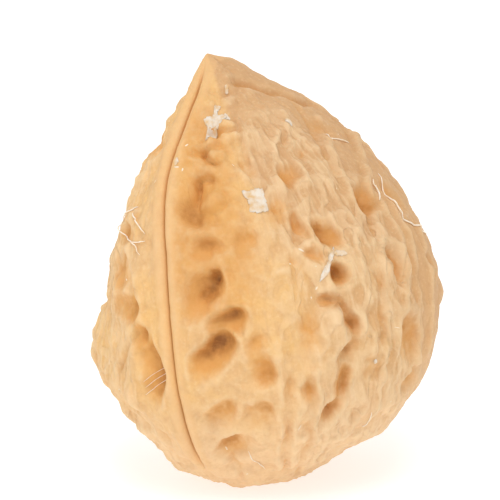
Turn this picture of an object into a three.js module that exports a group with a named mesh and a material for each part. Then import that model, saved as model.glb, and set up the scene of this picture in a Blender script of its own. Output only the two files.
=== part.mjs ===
// A whole walnut in its shell, standing tip up on a small flat spot. All lengths are in millimetres.
//
// The nut has an axis of its own, from the base (height 0) to the tip. A place on the shell is a turn
// around that axis, in degrees, and a height along it. The turn is 0 at the front seam (-Y), 90 at the
// right cheek (+X), 180 at the back seam and -90 at the left cheek.
import * as THREE from "three";
import { mergeVertices } from "three/addons/utils/BufferGeometryUtils.js";

// Driving dimensions.
const LENGTH = 41.6; // base to tip, along the nut's axis
const LEAN_LEFT = 8.3; // degrees that the axis leans from upright, to the left
const LEAN_FORWARD = 5.4; // and to the front
const SPOT_DEPTH = 1.25; // how much of the round base the flat spot takes away
const SPOT_BLEND = 0.5; // how softly the base runs into the flat spot
const CELLS = 32; // facets along each edge of the starting cube, even so that a row meets each seam

// The nut's radius at seven even steps from the base to the tip, on each of its four sides.
const SIDES = {
  front: [7.3, 13.1, 16.2, 15.3, 12.9, 7.25, 1.5],
  right: [4.9, 13.1, 17.0, 17.4, 13.1, 7.2, 1.4],
  back: [5.6, 13.3, 17.0, 17.2, 14.8, 9.2, 3.1],
  left: [5.6, 8.2, 14.1, 11.8, 6.4, 1.7, 0.4],
};
const BASE_ROUNDNESS = 11.5; // radius over the sine of the rise, at the base
const TIP_ROUNDNESS = 1.8; // the same at the tip, small enough to leave a point

// Each seam is a fine groove between two raised lips. Its path is a turn at each height.
const FRONT_SEAM = [
  [0, -2], [5, 0.6], [8.2, 2.8], [10.3, 4], [12.5, 4.8], [17.2, 4.9], [24.8, 5.1], [27.2, 4.8], [29.2, 3.6],
  [31, 2.4], [33.5, 2.1], [35.5, 4], [37.6, 6.2], [41.6, 6.6],
];
const BACK_SEAM = [[0, 184], [8, 181], [16, 178], [24, 180], [32, 183], [41.6, 188]];
const LIP_CENTRE = 1.1; // from the groove to the crown of each lip
const LIP_SPREAD = 0.95;
const LIP_RISE = 0.4;
const GROOVE_SPREAD = 0.45;
const GROOVE_DEPTH = 0.45;
const TIP_FADE = 3.2; // all relief dies away over this last stretch below the tip

// Hollows as [turn, height, width, length, depth, lean]. Lean turns the length from upright towards
// larger turns, in degrees. A depth below 0 is a swelling.
const SEAM_HOLLOWS = [
  [46.4, 37.7, 1.9, 1.6, -0.35, 0],
  [38.4, 35.7, 1.6, 1.5, -0.4, 0],
  [17, 35.4, 2, 4, 0.35, 0],
  [31.2, 35.4, 1.2, 1.4, 0.5, 0],
  [30.2, 33.7, 1.6, 1.4, -0.4, 0],
  [20.4, 34.1, 2, 1.3, 0.35, 0],
  [21, 31.8, 1.3, 3, 0.6, 70],
  [24.4, 30.7, 1.8, 1.5, -0.45, 0],
  [18.2, 30.3, 3, 4.8, 0.85, 0],
  [20.8, 26.5, 2.8, 2.2, 0.8, 0],
  [33.8, 26.5, 3.2, 2.8, 0.45, 0],
  [18.2, 22.6, 3.5, 4.7, 1.1, 28],
  [26, 19.9, 3.5, 2.2, 1, -12],
  [18.4, 17.2, 2.6, 4.8, 1.25, 50],
  [32.6, 17.5, 2.3, 1.9, 0.35, 0],
  [33.8, 15.3, 2.7, 3.4, 0.5, -22],
  [18.6, 11.5, 3.9, 2.8, 0.6, -15],
  [29.6, 10.9, 2.4, 2.8, 0.65, 15],
  [18.6, 7.8, 4, 3.2, 0.95, -15],
];
const RIGHT_HOLLOWS = [
  [61, 30.9, 2, 2.6, 0.55, 10],
  [57, 27.1, 1.8, 2.9, 0.35, -10],
  [65.2, 25.8, 2.8, 3.4, 0.6, -5],
  [57.4, 24.1, 1.8, 2.1, 0.35, 0],
  [62.8, 22.2, 2.8, 2.8, 0.7, 0],
  [55.4, 17.4, 3.4, 5.4, -0.55, 5],
  [49.5, 18, 1.9, 4, 0.4, 0],
  [57.8, 12.3, 2.6, 4, 0.5, 0],
  [53.4, 9.7, 2.2, 3.3, 0.35, 35],
  [46.8, 12.3, 1.5, 3.3, 0.5, 5],
  [90.4, 27, 3, 3.4, 0.75, 0],
  [85.2, 21.2, 2.7, 4.2, 0.7, -5],
  [106.4, 19.4, 2.3, 3.2, 0.5, 0],
  [86, 14.3, 3.2, 4.8, 0.6, 0],
  [89.4, 9.8, 2.7, 3.2, 0.55, 0],
  [109, 26, 2.8, 3.8, 0.5, 0],
  [104, 12.6, 2.2, 3.4, 0.45, 0],
  [117, 15.8, 3.2, 2.4, -0.35, 0],
  [90, 5, 9, 5, -0.65, 0],
];
const LEFT_HOLLOWS = [
  [-7.6, 19.2, 1.9, 1.9, 0.7, 0],
  [-3.6, 16, 2.4, 6.2, 0.9, 0],
  [-20.4, 24.3, 3.4, 3.6, 0.45, 0],
  [-16, 21.2, 5, 2.4, 0.55, 0],
  [-30, 34.8, 5, 3, 0.4, 0],
  [-52, 17.4, 7, 5, -0.6, 0],
  [-56, 20.7, 3.6, 2.2, 0.45, 0],
  [-20, 27.8, 3, 2.2, 0.45, 0],
  [-38, 12.5, 3, 3.2, 0.45, 0],
  [-24, 7.5, 3.2, 2.6, 0.45, 0],
];

// Creases as [width, depth, then each turn and height that the crease passes]. A depth below 0 is a
// raised vein.
const CREASES = [
  [1.4, 0.45, [54.8, 20], [57, 20.5], [61, 19.4], [63.8, 17], [59.4, 15], [58.2, 13.6]],
  [1.3, 0.3, [57.6, 11.2], [55, 10.4], [52.6, 8.6]],
  [1.2, 0.35, [60, 38.9], [94, 38.5], [112, 37.3], [127.2, 35.6], [140, 34.4]],
  [0.8, 0.4, [113, 35.6], [102, 33.6], [93, 32.6], [86, 30]],
  [0.8, -0.45, [143, 32], [112, 29.7], [97, 27.7], [88, 24.9], [76.5, 18.8], [74, 14.2], [70.8, 8.2]],
  [0.7, -0.35, [98, 26.6], [92.5, 23.6], [87.6, 19.4], [84, 17.8]],
  [0.7, -0.35, [104, 26.2], [96, 21.6], [90.6, 15.6], [91.6, 9.4]],
  [0.8, 0.45, [39.8, 15.6], [39.2, 12.1], [36.4, 7.8], [31.2, 4.3], [24, 2.4]],
  [0.8, -0.4, [42.6, 15], [41.2, 8.6], [38, 4.3], [33, 2.4]],
  [0.8, 0.35, [-14, 18.4], [-21, 15.4], [-24.4, 12.4], [-22, 9.4]],
  [0.8, 0.4, [-31.6, 14.8], [-35.6, 11.9], [-30, 9.8], [-20, 8]],
];

// The unseen side has hollows of the same kinds. Each of their measures runs through the multiples of
// its own irrational step, which spreads them evenly.
const BACK_COUNT = 74;
const BACK_TURNS = [124, 306];
const BACK_HEIGHTS = [4, 36.5];
const BACK_WIDTHS = [1.8, 3.2];
const BACK_DEPTHS = [0.3, 0.8];
const BACK_STEPS = [0.7549, 0.5698, 0.618, 0.4142, 0.2361];
const BACK_LEAN = 60; // the most that a hollow leans to either side
const SEAM_CLEARANCE = 9; // degrees on each side of the back seam that stay free of hollows

const { degToRad, euclideanModulo, lerp, radToDeg } = THREE.MathUtils;

// A smooth curve through evenly spaced values, at a place counted in steps from the first.
function smoothAt(values, place) {
  const last = values.length - 1;
  const step = Math.min(Math.floor(place), last - 1);
  const part = place - step;
  const before = step > 0 ? values[step - 1] : 2 * values[0] - values[1];
  const after = step < last - 1 ? values[step + 2] : 2 * values[last] - values[last - 1];
  const [start, end] = [values[step], values[step + 1]];
  const linear = end - before;
  const square = 2 * before - 5 * start + 4 * end - after;
  const cube = 3 * start - before - 3 * end + after;
  return start + 0.5 * part * (linear + part * (square + part * cube));
}

// A value at a height, joined in straight stretches between [height, value] pairs.
function valueAt(pairs, height) {
  const next = pairs.findIndex(([at]) => at >= height);
  if (next <= 0) return next === 0 ? pairs[0][1] : pairs.at(-1)[1];
  const [low, lowValue] = pairs[next - 1];
  const [high, highValue] = pairs[next];
  return lerp(lowValue, highValue, (height - low) / (high - low));
}

// The rise is the angle from the base pole (0) to the tip pole (pi).
const riseAt = (height) => Math.acos(1 - (2 * height) / LENGTH);
const heightAt = (rise) => (LENGTH * (1 - Math.cos(rise))) / 2;

// Each side's radius divided by the sine of its rise, which stays smooth right up to both poles.
const roundness = Object.values(SIDES).map((radii) => {
  const step = Math.PI / (radii.length + 1);
  return [BASE_ROUNDNESS, ...radii.map((radius, i) => radius / Math.sin(step * (i + 1))), TIP_ROUNDNESS];
});

// The plain nut's radius, running smoothly from each side to the next.
function radiusAt(rise, turn) {
  const quarter = euclideanModulo(turn, 360) / 90;
  const side = Math.floor(quarter) % 4;
  const share = Math.sin(((quarter - Math.floor(quarter)) * Math.PI) / 2) ** 2;
  const place = (rise / Math.PI) * (roundness[0].length - 1);
  const here = smoothAt(roundness[side], place);
  const next = smoothAt(roundness[(side + 1) % 4], place);
  return Math.sin(rise) * lerp(here, next, share);
}

function pointAt(rise, turn) {
  const angle = degToRad(turn);
  const radius = radiusAt(rise, turn);
  return new THREE.Vector3(radius * Math.sin(angle), -radius * Math.cos(angle), heightAt(rise));
}

// The directions on the plain nut at a place: across (larger turns), up (towards the tip) and out.
function frameAt(rise, turn) {
  const clear = THREE.MathUtils.clamp(rise, 0.03, Math.PI - 0.03);
  const across = pointAt(clear, turn + 0.5).sub(pointAt(clear, turn - 0.5)).normalize();
  const up = pointAt(clear + 0.01, turn).sub(pointAt(clear - 0.01, turn)).normalize();
  const out = new THREE.Vector3().crossVectors(across, up).normalize();
  return { across, up: new THREE.Vector3().crossVectors(out, across), out };
}

// The height that a seam's lips and groove add at a place.
function seamRise(path, point, rise, turn) {
  const away = degToRad(euclideanModulo(turn - valueAt(path, heightAt(rise)) + 180, 360) - 180);
  if (Math.abs(away) > 1) return 0;
  const across = Math.hypot(point.x, point.y) * away;
  const fade = THREE.MathUtils.smoothstep(heightAt(rise), 2, 8);
  const lips = LIP_RISE * Math.exp(-(((Math.abs(across) - LIP_CENTRE) / LIP_SPREAD) ** 2));
  const groove = GROOVE_DEPTH * Math.exp(-((across / GROOVE_SPREAD) ** 2));
  return fade * (lips - groove);
}

// A hollow as a bowl with an oval rim, set on the plain nut's surface.
function makeHollow([turn, height, width, length, depth, lean]) {
  const rise = riseAt(height);
  const { across, up } = frameAt(rise, turn);
  const angle = degToRad(lean);
  const long = up.clone().multiplyScalar(Math.cos(angle)).addScaledVector(across, Math.sin(angle));
  const wide = across.clone().multiplyScalar(Math.cos(angle)).addScaledVector(up, -Math.sin(angle));
  return { centre: pointAt(rise, turn), long, wide, width, length, depth };
}

function hollowRise(hollow, point) {
  const away = point.clone().sub(hollow.centre);
  if (away.length() > hollow.width + hollow.length) return 0;
  const aside = (2 * away.dot(hollow.wide)) / hollow.width;
  const along = (2 * away.dot(hollow.long)) / hollow.length;
  const oval = aside ** 2 + along ** 2;
  return oval < 2 ? -hollow.depth * (1 - oval / 2) ** 2 : 0;
}

function makeCrease([width, depth, ...places]) {
  return { width, depth, points: places.map(([turn, height]) => pointAt(riseAt(height), turn)) };
}

function creaseRise(crease, point) {
  let nearest = Infinity;
  const line = new THREE.Line3();
  const foot = new THREE.Vector3();
  for (let i = 1; i < crease.points.length; i += 1) {
    line.set(crease.points[i - 1], crease.points[i]).closestPointToPoint(point, true, foot);
    nearest = Math.min(nearest, foot.distanceTo(point));
  }
  return -crease.depth * Math.exp(-((nearest / crease.width) ** 2));
}

// The hollows of the unseen side, which keep clear of the back seam.
function scatterBack() {
  const rows = [];
  for (let i = 1; i <= BACK_COUNT; i += 1) {
    const [a, b, c, d, e] = BACK_STEPS.map((step) => euclideanModulo(i * step, 1));
    const turn = lerp(...BACK_TURNS, a);
    const height = lerp(...BACK_HEIGHTS, b);
    const width = lerp(...BACK_WIDTHS, c);
    const depth = lerp(...BACK_DEPTHS, c * d);
    const row = [turn, height, width, width * lerp(1, 1.9, d), depth, lerp(-BACK_LEAN, BACK_LEAN, e)];
    if (Math.abs(turn - 180) > SEAM_CLEARANCE) rows.push(row);
  }
  return rows;
}

// A cube's grid drawn onto a ball with nearly even cells, as directions from the middle of the nut.
function ballGrid() {
  const box = new THREE.BoxGeometry(2, 2, 2, CELLS, CELLS, CELLS);
  box.deleteAttribute("normal");
  box.deleteAttribute("uv");
  return mergeVertices(box, 1e-3);
}

function shellGeometry() {
  const hollows = [...SEAM_HOLLOWS, ...RIGHT_HOLLOWS, ...LEFT_HOLLOWS, ...scatterBack()].map(makeHollow);
  const creases = CREASES.map(makeCrease);
  const geometry = ballGrid();
  const corners = geometry.getAttribute("position");
  const even = (side) => Math.tan((side * Math.PI) / 4);
  for (let i = 0; i < corners.count; i += 1) {
    const toward = new THREE.Vector3(even(corners.getX(i)), even(corners.getY(i)), even(corners.getZ(i)));
    const rise = Math.acos(-toward.normalize().z);
    const ahead = radToDeg(Math.atan2(toward.x, -toward.y));
    const [path, middle] = Math.abs(ahead) < 90 ? [FRONT_SEAM, 0] : [BACK_SEAM, 180];
    const seam = valueAt(path, heightAt(rise)) - middle;
    const turn = ahead + seam * Math.cos(degToRad(ahead)) ** 2;
    const point = pointAt(rise, turn);
    let lift = seamRise(FRONT_SEAM, point, rise, turn) + seamRise(BACK_SEAM, point, rise, turn);
    for (const hollow of hollows) lift += hollowRise(hollow, point);
    for (const crease of creases) lift += creaseRise(crease, point);
    lift *= THREE.MathUtils.smoothstep(LENGTH - heightAt(rise), 0, TIP_FADE);
    point.addScaledVector(frameAt(rise, turn).out, lift);
    corners.setXYZ(i, point.x, point.y, point.z);
  }
  return geometry;
}

// Leans the nut, presses the flat spot into its lowest part, and stands it on the origin.
function standOnSpot(geometry) {
  geometry.rotateY(degToRad(-LEAN_LEFT));
  geometry.rotateX(degToRad(LEAN_FORWARD));
  geometry.computeBoundingBox();
  const floor = geometry.boundingBox.min.z + SPOT_DEPTH;
  const corners = geometry.getAttribute("position");
  for (let i = 0; i < corners.count; i += 1) {
    const height = corners.getZ(i) - floor;
    const near = Math.abs(height) < SPOT_BLEND;
    corners.setZ(i, near ? (height + SPOT_BLEND) ** 2 / (4 * SPOT_BLEND) : Math.max(height, 0));
  }
  geometry.computeBoundingBox();
  const middle = geometry.boundingBox.getCenter(new THREE.Vector3());
  geometry.translate(-middle.x, -middle.y, 0);
  geometry.computeVertexNormals();
  return geometry;
}

// Dry, unpolished nut shell: light tan and matt.
function shellMaterial() {
  return new THREE.MeshStandardMaterial({ color: 0xe8bb85, roughness: 0.72, metalness: 0 });
}

function makeWalnut() {
  const shell = new THREE.Mesh(standOnSpot(shellGeometry()), shellMaterial());
  shell.name = "walnut";
  const group = new THREE.Group();
  group.add(shell);
  return group;
}

export default makeWalnut();
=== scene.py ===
"""A whole walnut in its dry shell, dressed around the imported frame.

The CAD frame gives the nut's place and size. This script makes the same nut again with its fine surface:
the pitted and veined shell with its seam, the threads of dried husk that cling to it, and a few papery
flakes of its skin. A place on the nut is a turn around its own axis in degrees (0 at the front seam, 90
at the right cheek, 180 at the back seam) and a height along that axis in millimetres from the base.
"""
from __future__ import annotations

import logging
import math
from collections.abc import Sequence
from dataclasses import dataclass, field
from enum import Enum

import bmesh
import bpy
import numpy as np
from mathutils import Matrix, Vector
from mathutils.bvhtree import BVHTree


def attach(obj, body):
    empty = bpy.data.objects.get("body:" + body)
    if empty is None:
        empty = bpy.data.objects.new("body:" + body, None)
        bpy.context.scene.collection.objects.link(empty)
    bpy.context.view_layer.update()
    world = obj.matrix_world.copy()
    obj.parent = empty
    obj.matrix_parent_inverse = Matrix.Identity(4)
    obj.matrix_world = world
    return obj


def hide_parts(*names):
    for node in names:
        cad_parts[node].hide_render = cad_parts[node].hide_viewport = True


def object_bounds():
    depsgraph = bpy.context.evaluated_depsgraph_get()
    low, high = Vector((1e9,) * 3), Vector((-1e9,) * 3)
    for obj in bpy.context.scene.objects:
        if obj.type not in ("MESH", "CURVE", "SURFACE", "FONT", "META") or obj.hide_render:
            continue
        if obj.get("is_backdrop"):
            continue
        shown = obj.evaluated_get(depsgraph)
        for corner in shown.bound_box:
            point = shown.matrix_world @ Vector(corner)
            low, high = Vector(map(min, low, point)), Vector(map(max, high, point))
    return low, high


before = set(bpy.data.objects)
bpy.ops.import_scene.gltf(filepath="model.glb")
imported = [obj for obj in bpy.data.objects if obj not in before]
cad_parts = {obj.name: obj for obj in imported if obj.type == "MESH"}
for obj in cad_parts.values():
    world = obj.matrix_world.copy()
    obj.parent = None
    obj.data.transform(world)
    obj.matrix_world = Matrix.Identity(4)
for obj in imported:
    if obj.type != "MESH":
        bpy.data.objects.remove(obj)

MM = 0.001
NODE = "walnut"
BODY = "root"
LOG = logging.getLogger("walnut")

Array = np.ndarray


def linear(code: str) -> tuple[float, float, float, float]:
    """Turns an sRGB hex colour into linear light.

    Args:
        code: six hex digits, with or without a leading #.

    Returns:
        Red, green, blue and an alpha of 1.
    """
    parts = [int(code.lstrip("#")[i:i + 2], 16) / 255 for i in (0, 2, 4)]
    red, green, blue = (c / 12.92 if c <= 0.04045 else ((c + 0.055) / 1.055) ** 2.4 for c in parts)
    return red, green, blue, 1.0


def add_node(tree: bpy.types.NodeTree, kind: str, inputs: dict | None = None, **settings) -> bpy.types.Node:
    """Adds a node with its settings, values and links.

    Args:
        tree: the node tree that gets the node.
        kind: the node's type name.
        inputs: input name or number to a value, or to the output socket that feeds it.
        **settings: the node's own properties.

    Returns:
        The new node.
    """
    node = tree.nodes.new(kind)
    for name, value in settings.items():
        setattr(node, name, value)
    for key, value in (inputs or {}).items():
        if isinstance(value, bpy.types.NodeSocket):
            tree.links.new(value, node.inputs[key])
        else:
            node.inputs[key].default_value = value
    return node


def unit(vectors: Array) -> Array:
    """Scales each row to length 1."""
    return vectors / np.maximum(np.linalg.norm(vectors, axis=-1, keepdims=True), 1e-12)


def smoothstep(value: Array, low: float, high: float) -> Array:
    """Rises smoothly from 0 at low to 1 at high."""
    part = np.clip((np.asarray(value, float) - low) / (high - low), 0, 1)
    return part * part * (3 - 2 * part)


def smooth_through(values: Sequence[float], place: Array | float) -> Array:
    """Follows the smooth curve through evenly spaced values.

    Args:
        values: the values that the curve passes through.
        place: how far along it, counted in steps from the first value.

    Returns:
        The curve's value at each place.
    """
    known = np.asarray(values, float)
    known = np.concatenate([[2 * known[0] - known[1]], known, [2 * known[-1] - known[-2]]])
    step = np.minimum(np.asarray(place).astype(int), len(known) - 4)
    part = place - step
    before, start, end, after = (known[step + i] for i in range(4))
    square = 2 * before - 5 * start + 4 * end - after
    cube = 3 * start - before - 3 * end + after
    return start + 0.5 * part * ((end - before) + part * (square + part * cube))


def between(limits: tuple[float, float], share: float) -> float:
    """Gives the value at a share of the way from one limit to the other."""
    return limits[0] + share * (limits[1] - limits[0])


@dataclass(frozen=True)
class Band:
    """A stretch of turns or heights with soft edges: it rises from start to full and ends at last to end."""

    start: float
    full: float
    last: float
    end: float

    def share(self, values: Array) -> Array:
        """Gives 1 inside the stretch and 0 outside it."""
        return smoothstep(values, self.start, self.full) * (1 - smoothstep(values, self.last, self.end))


# ---------------------------------------------------------------- the nut's form


class Side(Enum):
    """The nut's four sides, each with its radius in mm at seven even steps from base to tip."""

    FRONT = (7.3, 13.1, 16.2, 15.3, 12.9, 7.25, 1.5)
    RIGHT = (4.9, 13.1, 17.0, 17.4, 13.1, 7.2, 1.4)
    BACK = (5.6, 13.3, 17.0, 17.2, 14.8, 9.2, 3.1)
    LEFT = (5.6, 8.2, 14.1, 11.8, 6.4, 1.7, 0.4)


@dataclass(frozen=True)
class NutForm:
    """The plain nut without its relief, in millimetres, upright on its own axis."""

    length: float = 41.6
    base_roundness: float = 11.5
    tip_roundness: float = 1.8
    lean_left: float = 8.3
    lean_forward: float = 5.4
    spot_depth: float = 1.25
    spot_blend: float = 0.5
    # Directions are measured over small steps, and this far off the poles, where a turn has no meaning.
    pole_gap: float = 0.03
    rise_step: float = 0.01
    turn_step: float = 0.5

    def rise_at(self, height: Array) -> Array:
        """Gives the angle from the base pole at a height."""
        return np.arccos(np.clip(1 - 2 * np.asarray(height, float) / self.length, -1, 1))

    def height_at(self, rise: Array) -> Array:
        """Gives the height at an angle from the base pole."""
        return self.length * (1 - np.cos(rise)) / 2

    def roundness(self, side: Side, rise: Array) -> Array:
        """Gives a side's radius over the sine of the rise, as a smooth curve.

        Args:
            side: which of the four sides.
            rise: angles from the base pole.

        Returns:
            One value for each rise.
        """
        steps = np.pi / (len(side.value) + 1)
        inner = [radius / math.sin(steps * (i + 1)) for i, radius in enumerate(side.value)]
        place = np.clip(rise / steps, 0, len(side.value) + 1)
        return smooth_through([self.base_roundness, *inner, self.tip_roundness], place)

    def radius(self, rise: Array, turn: Array) -> Array:
        """Gives the distance from the axis, running smoothly from side to side."""
        sides = [self.roundness(side, rise) for side in Side]
        quarter = np.mod(turn, 360) / 90
        index = np.clip(quarter.astype(int), 0, 3)
        share = np.sin((quarter - index) * np.pi / 2) ** 2
        here = np.choose(index, sides)
        beyond = np.choose((index + 1) % 4, sides)
        return np.sin(rise) * (here * (1 - share) + beyond * share)

    def point(self, rise: Array, turn: Array) -> Array:
        """Gives points on the plain nut, one row for each rise and turn."""
        angle = np.radians(turn)
        radius = self.radius(rise, turn)
        return np.stack([radius * np.sin(angle), -radius * np.cos(angle), self.height_at(rise)], -1)

    def directions(self, rise: Array, turn: Array) -> tuple[Array, Array, Array]:
        """Gives the unit directions across (larger turns), up (to the tip) and out of the nut."""
        clear = np.clip(rise, self.pole_gap, np.pi - self.pole_gap)
        across = unit(self.point(clear, turn + self.turn_step) - self.point(clear, turn - self.turn_step))
        up = unit(self.point(clear + self.rise_step, turn) - self.point(clear - self.rise_step, turn))
        out = unit(np.cross(across, up))
        return across, np.cross(out, across), out

    def lean(self, points: Array) -> Array:
        """Leans points or directions from the nut's own axis to how it rests."""
        left, forward = math.radians(-self.lean_left), math.radians(self.lean_forward)
        about_y = np.array([[math.cos(left), 0, math.sin(left)],
                            [0, 1, 0],
                            [-math.sin(left), 0, math.cos(left)]])
        about_x = np.array([[1, 0, 0],
                            [0, math.cos(forward), -math.sin(forward)],
                            [0, math.sin(forward), math.cos(forward)]])
        return points @ (about_x @ about_y).T

    def press_spot(self, height: Array) -> Array:
        """Flattens what reaches below the resting plane, with a soft edge."""
        soft = (height + self.spot_blend) ** 2 / (4 * self.spot_blend)
        return np.where(np.abs(height) < self.spot_blend, soft, np.maximum(height, 0))


# ---------------------------------------------------------------- relief


@dataclass(frozen=True)
class Seam:
    """A seam where the two half shells meet: a fine groove between two raised lips.

    The path is a row of (height, turn) places. Further than the widest turn from it, the seam isn't felt.
    """

    path: tuple[tuple[float, float], ...]
    ease: float = 1.2
    ease_steps: int = 7
    widest_turn: float = 80.0
    lip_centre: float = 0.72
    lip_spread: float = 0.5
    lip_rise: float = 0.28
    groove_spread: float = 0.15
    groove_depth: float = 0.3
    shoulder: float = 0.22
    shoulder_spread: float = 2.6

    def turn_at(self, height: Array) -> Array:
        """Gives the seam's turn at a height."""
        heights, turns = zip(*self.path)
        spread = np.linspace(-self.ease, self.ease, self.ease_steps)
        return np.mean([np.interp(height + step, heights, turns) for step in spread], axis=0)

    def across(self, form: NutForm, rise: Array, turn: Array, points: Array) -> Array:
        """Gives the distance from the groove in mm, positive towards larger turns."""
        away = np.mod(turn - self.turn_at(form.height_at(rise)) + 180, 360) - 180
        away = np.where(np.abs(away) > self.widest_turn, 180, away)
        return np.radians(away) * np.hypot(points[:, 0], points[:, 1])

    def section(self, across: Array) -> tuple[Array, Array, Array]:
        """Gives the seam's cross-section.

        Args:
            across: distances from the groove in mm.

        Returns:
            The height in mm; then 1 in the groove; then 1 over the groove and both its lips.
        """
        crown = np.exp(-((np.abs(across) - self.lip_centre) / self.lip_spread) ** 2)
        cut = np.exp(-(across / self.groove_spread) ** 2)
        shoulder = np.exp(-(across / self.shoulder_spread) ** 2)
        lips = np.exp(-(across / (self.lip_centre + self.lip_spread)) ** 6)
        return self.lip_rise * crown - self.groove_depth * cut + self.shoulder * shoulder, cut, lips


@dataclass(frozen=True)
class Hollow:
    """An oval bowl pressed into the shell; a depth below 0 makes a swelling.

    The length leans from upright towards larger turns. The deepest point is pulled off the middle by a
    share of the rim, towards a direction counted in the same way, which makes the wall steep there.
    """

    turn: float
    height: float
    width: float
    length: float
    depth: float
    lean: float = 0.0
    pull: float = 0.0
    toward: float = 0.0

    def ring(self, form: NutForm, points: Array) -> tuple[Array, Array]:
        """Measures where points lie in the bowl.

        Args:
            form: the plain nut.
            points: places in the nut's own frame.

        Returns:
            Each point's ring number, 0 at the deepest point, 1 at the rim and above 1 outside it, and
            how far it lies towards the steep wall, from -1 to 1 inside the rim.
        """
        rise, turn = form.rise_at([self.height]), np.array([self.turn])
        centre = form.point(rise, turn)[0]
        across, up, out = (way[0] for way in form.directions(rise, turn))
        angle = math.radians(self.lean)
        along = up * math.cos(angle) + across * math.sin(angle)
        aside = across * math.cos(angle) - up * math.sin(angle)
        away = points - centre
        oval = np.stack([away @ aside / (self.width / 2), away @ along / (self.length / 2)], -1)
        steep_angle = math.radians(self.toward - self.lean)
        steep = np.array([math.sin(steep_angle), math.cos(steep_angle)])
        pull = self.pull * steep
        offset = oval - pull
        slope = offset @ pull
        rest = 1 - pull @ pull
        ring = (slope + np.sqrt(slope ** 2 + rest * np.sum(offset ** 2, -1))) / rest
        # The nut's other side lies in the bowl's direction too, but far outside it.
        return np.where(np.abs(away @ out) > self.width + self.length, 9.0, ring), oval @ steep


@dataclass(frozen=True)
class Crease:
    """A groove along a line of (turn, height) places; a depth below 0 makes a raised vein."""

    width: float
    depth: float
    places: tuple[tuple[float, float], ...]

    def profile(self, form: NutForm, points: Array) -> Array:
        """Gives 1 on the line, falling off to 0 beside it and towards its two ends.

        Args:
            form: the plain nut.
            points: places in the nut's own frame.

        Returns:
            One value for each point.
        """
        turns, heights = (np.array(column, float) for column in zip(*self.places))
        line = form.point(form.rise_at(heights), turns)
        steps = np.linalg.norm(np.diff(line, axis=0), axis=1)
        reached = np.concatenate([[0], np.cumsum(steps)])
        best = np.full(len(points), 1e9)
        place = np.zeros(len(points))
        for i, step in enumerate(steps):
            way = (line[i + 1] - line[i]) / step
            along = np.clip((points - line[i]) @ way, 0, step)
            gap = np.linalg.norm(points - line[i] - along[:, None] * way, axis=1)
            nearer = gap < best
            best = np.where(nearer, gap, best)
            place = np.where(nearer, reached[i] + along, place)
        taper = smoothstep(np.minimum(place, reached[-1] - place), -0.2, 1.6 * self.width)
        return np.exp(-(best / (0.6 * self.width)) ** 2) * (0.25 + 0.75 * taper)


FRONT_SEAM = Seam(((0, -2), (5, 0.6), (8.2, 2.8), (10.3, 4.0), (12.5, 4.8), (14.3, 5.1), (17.2, 4.9),
                  (22.2, 4.8), (24.8, 5.1), (27.2, 4.8), (29.2, 3.6), (31.0, 2.4), (32.3, 2.0), (33.5, 2.1),
                  (35.5, 4.0), (36.4, 5.4), (37.6, 6.2), (39.4, 6.6), (41.6, 6.6)))
BACK_SEAM = Seam(((0, 184), (8, 181), (16, 178), (24, 180), (32, 183), (41.6, 188)), lip_rise=0.5,
                 lip_spread=0.6, lip_centre=0.85)

# Beside the front seam on the right half, from the tip down to the base.
SEAM_HOLLOWS = (
    Hollow(46.4, 37.7, 1.9, 1.6, -0.45),
    Hollow(38.4, 35.8, 1.5, 1.4, -0.6),
    Hollow(18, 35.4, 2.0, 4.0, 0.35, 0, 0.3, 90),
    Hollow(31.2, 35.4, 1.1, 1.3, 0.85, 0, 0.3, -90),
    Hollow(38, 34.7, 1.5, 1.2, -0.4),
    Hollow(27.4, 34.9, 1.2, 1.1, -0.45),
    Hollow(30.2, 33.7, 1.6, 1.4, -0.55),
    Hollow(20.4, 34.1, 2.0, 1.3, 0.45),
    Hollow(20.6, 31.6, 1.3, 1.7, 0.5, 60, 0.2, 0),
    Hollow(20, 32.8, 3.2, 1.1, -0.25, 10),
    Hollow(24.2, 30.3, 2.0, 1.7, -0.9),
    Hollow(26.2, 30.2, 1.6, 1.3, -0.35, 20),
    Hollow(18.8, 30.0, 4.4, 4.4, 0.95, 0, 0.2, 215),
    Hollow(16.4, 29.0, 2.4, 1.6, 0.25, 0, 0.2, 180),
    Hollow(28.5, 28.9, 2.6, 1.4, 0.3),
    Hollow(49.6, 28.4, 2.6, 3.6, 0.35, 15, 0.2, 200),
    Hollow(20.8, 26.5, 2.8, 2.2, 0.8, 0, 0.3, 20),
    Hollow(33.8, 26.5, 3.2, 2.8, 0.5, 0, 0.2, 0),
    Hollow(16.0, 24.6, 2.8, 0.8, -0.25, 20),
    Hollow(17.6, 22.6, 3.1, 5.2, 1.15, 36, 0.38, 60),
    Hollow(22, 24.0, 1.3, 1.5, 0.55, 30, 0.3, 0),
    Hollow(18.4, 22.2, 1.2, 2.2, 0.4, 50, 0.2, 10),
    Hollow(26, 19.9, 3.5, 2.2, 1.05, -12, 0.6, 0),
    Hollow(22.2, 19.0, 1.7, 1.3, 0.35, 30),
    Hollow(23.5, 18.7, 3.2, 0.7, -0.3, -12),
    Hollow(18.4, 17.2, 2.6, 4.8, 1.45, 50, 0.62, 15),
    Hollow(32.6, 17.5, 2.3, 1.9, 0.4),
    Hollow(33.8, 15.3, 2.7, 3.4, 0.5, -22, 0.4, 150),
    Hollow(18.6, 11.5, 3.9, 2.8, 0.5, -15, 0.6, -30),
    Hollow(29.6, 10.9, 2.4, 2.8, 0.55, 15, 0.5, 40),
    Hollow(24.4, 11.6, 1.1, 2.6, -0.4, 30),
    Hollow(18.6, 7.8, 4.0, 3.2, 0.85, -15, 0.6, -35),
)

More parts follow.
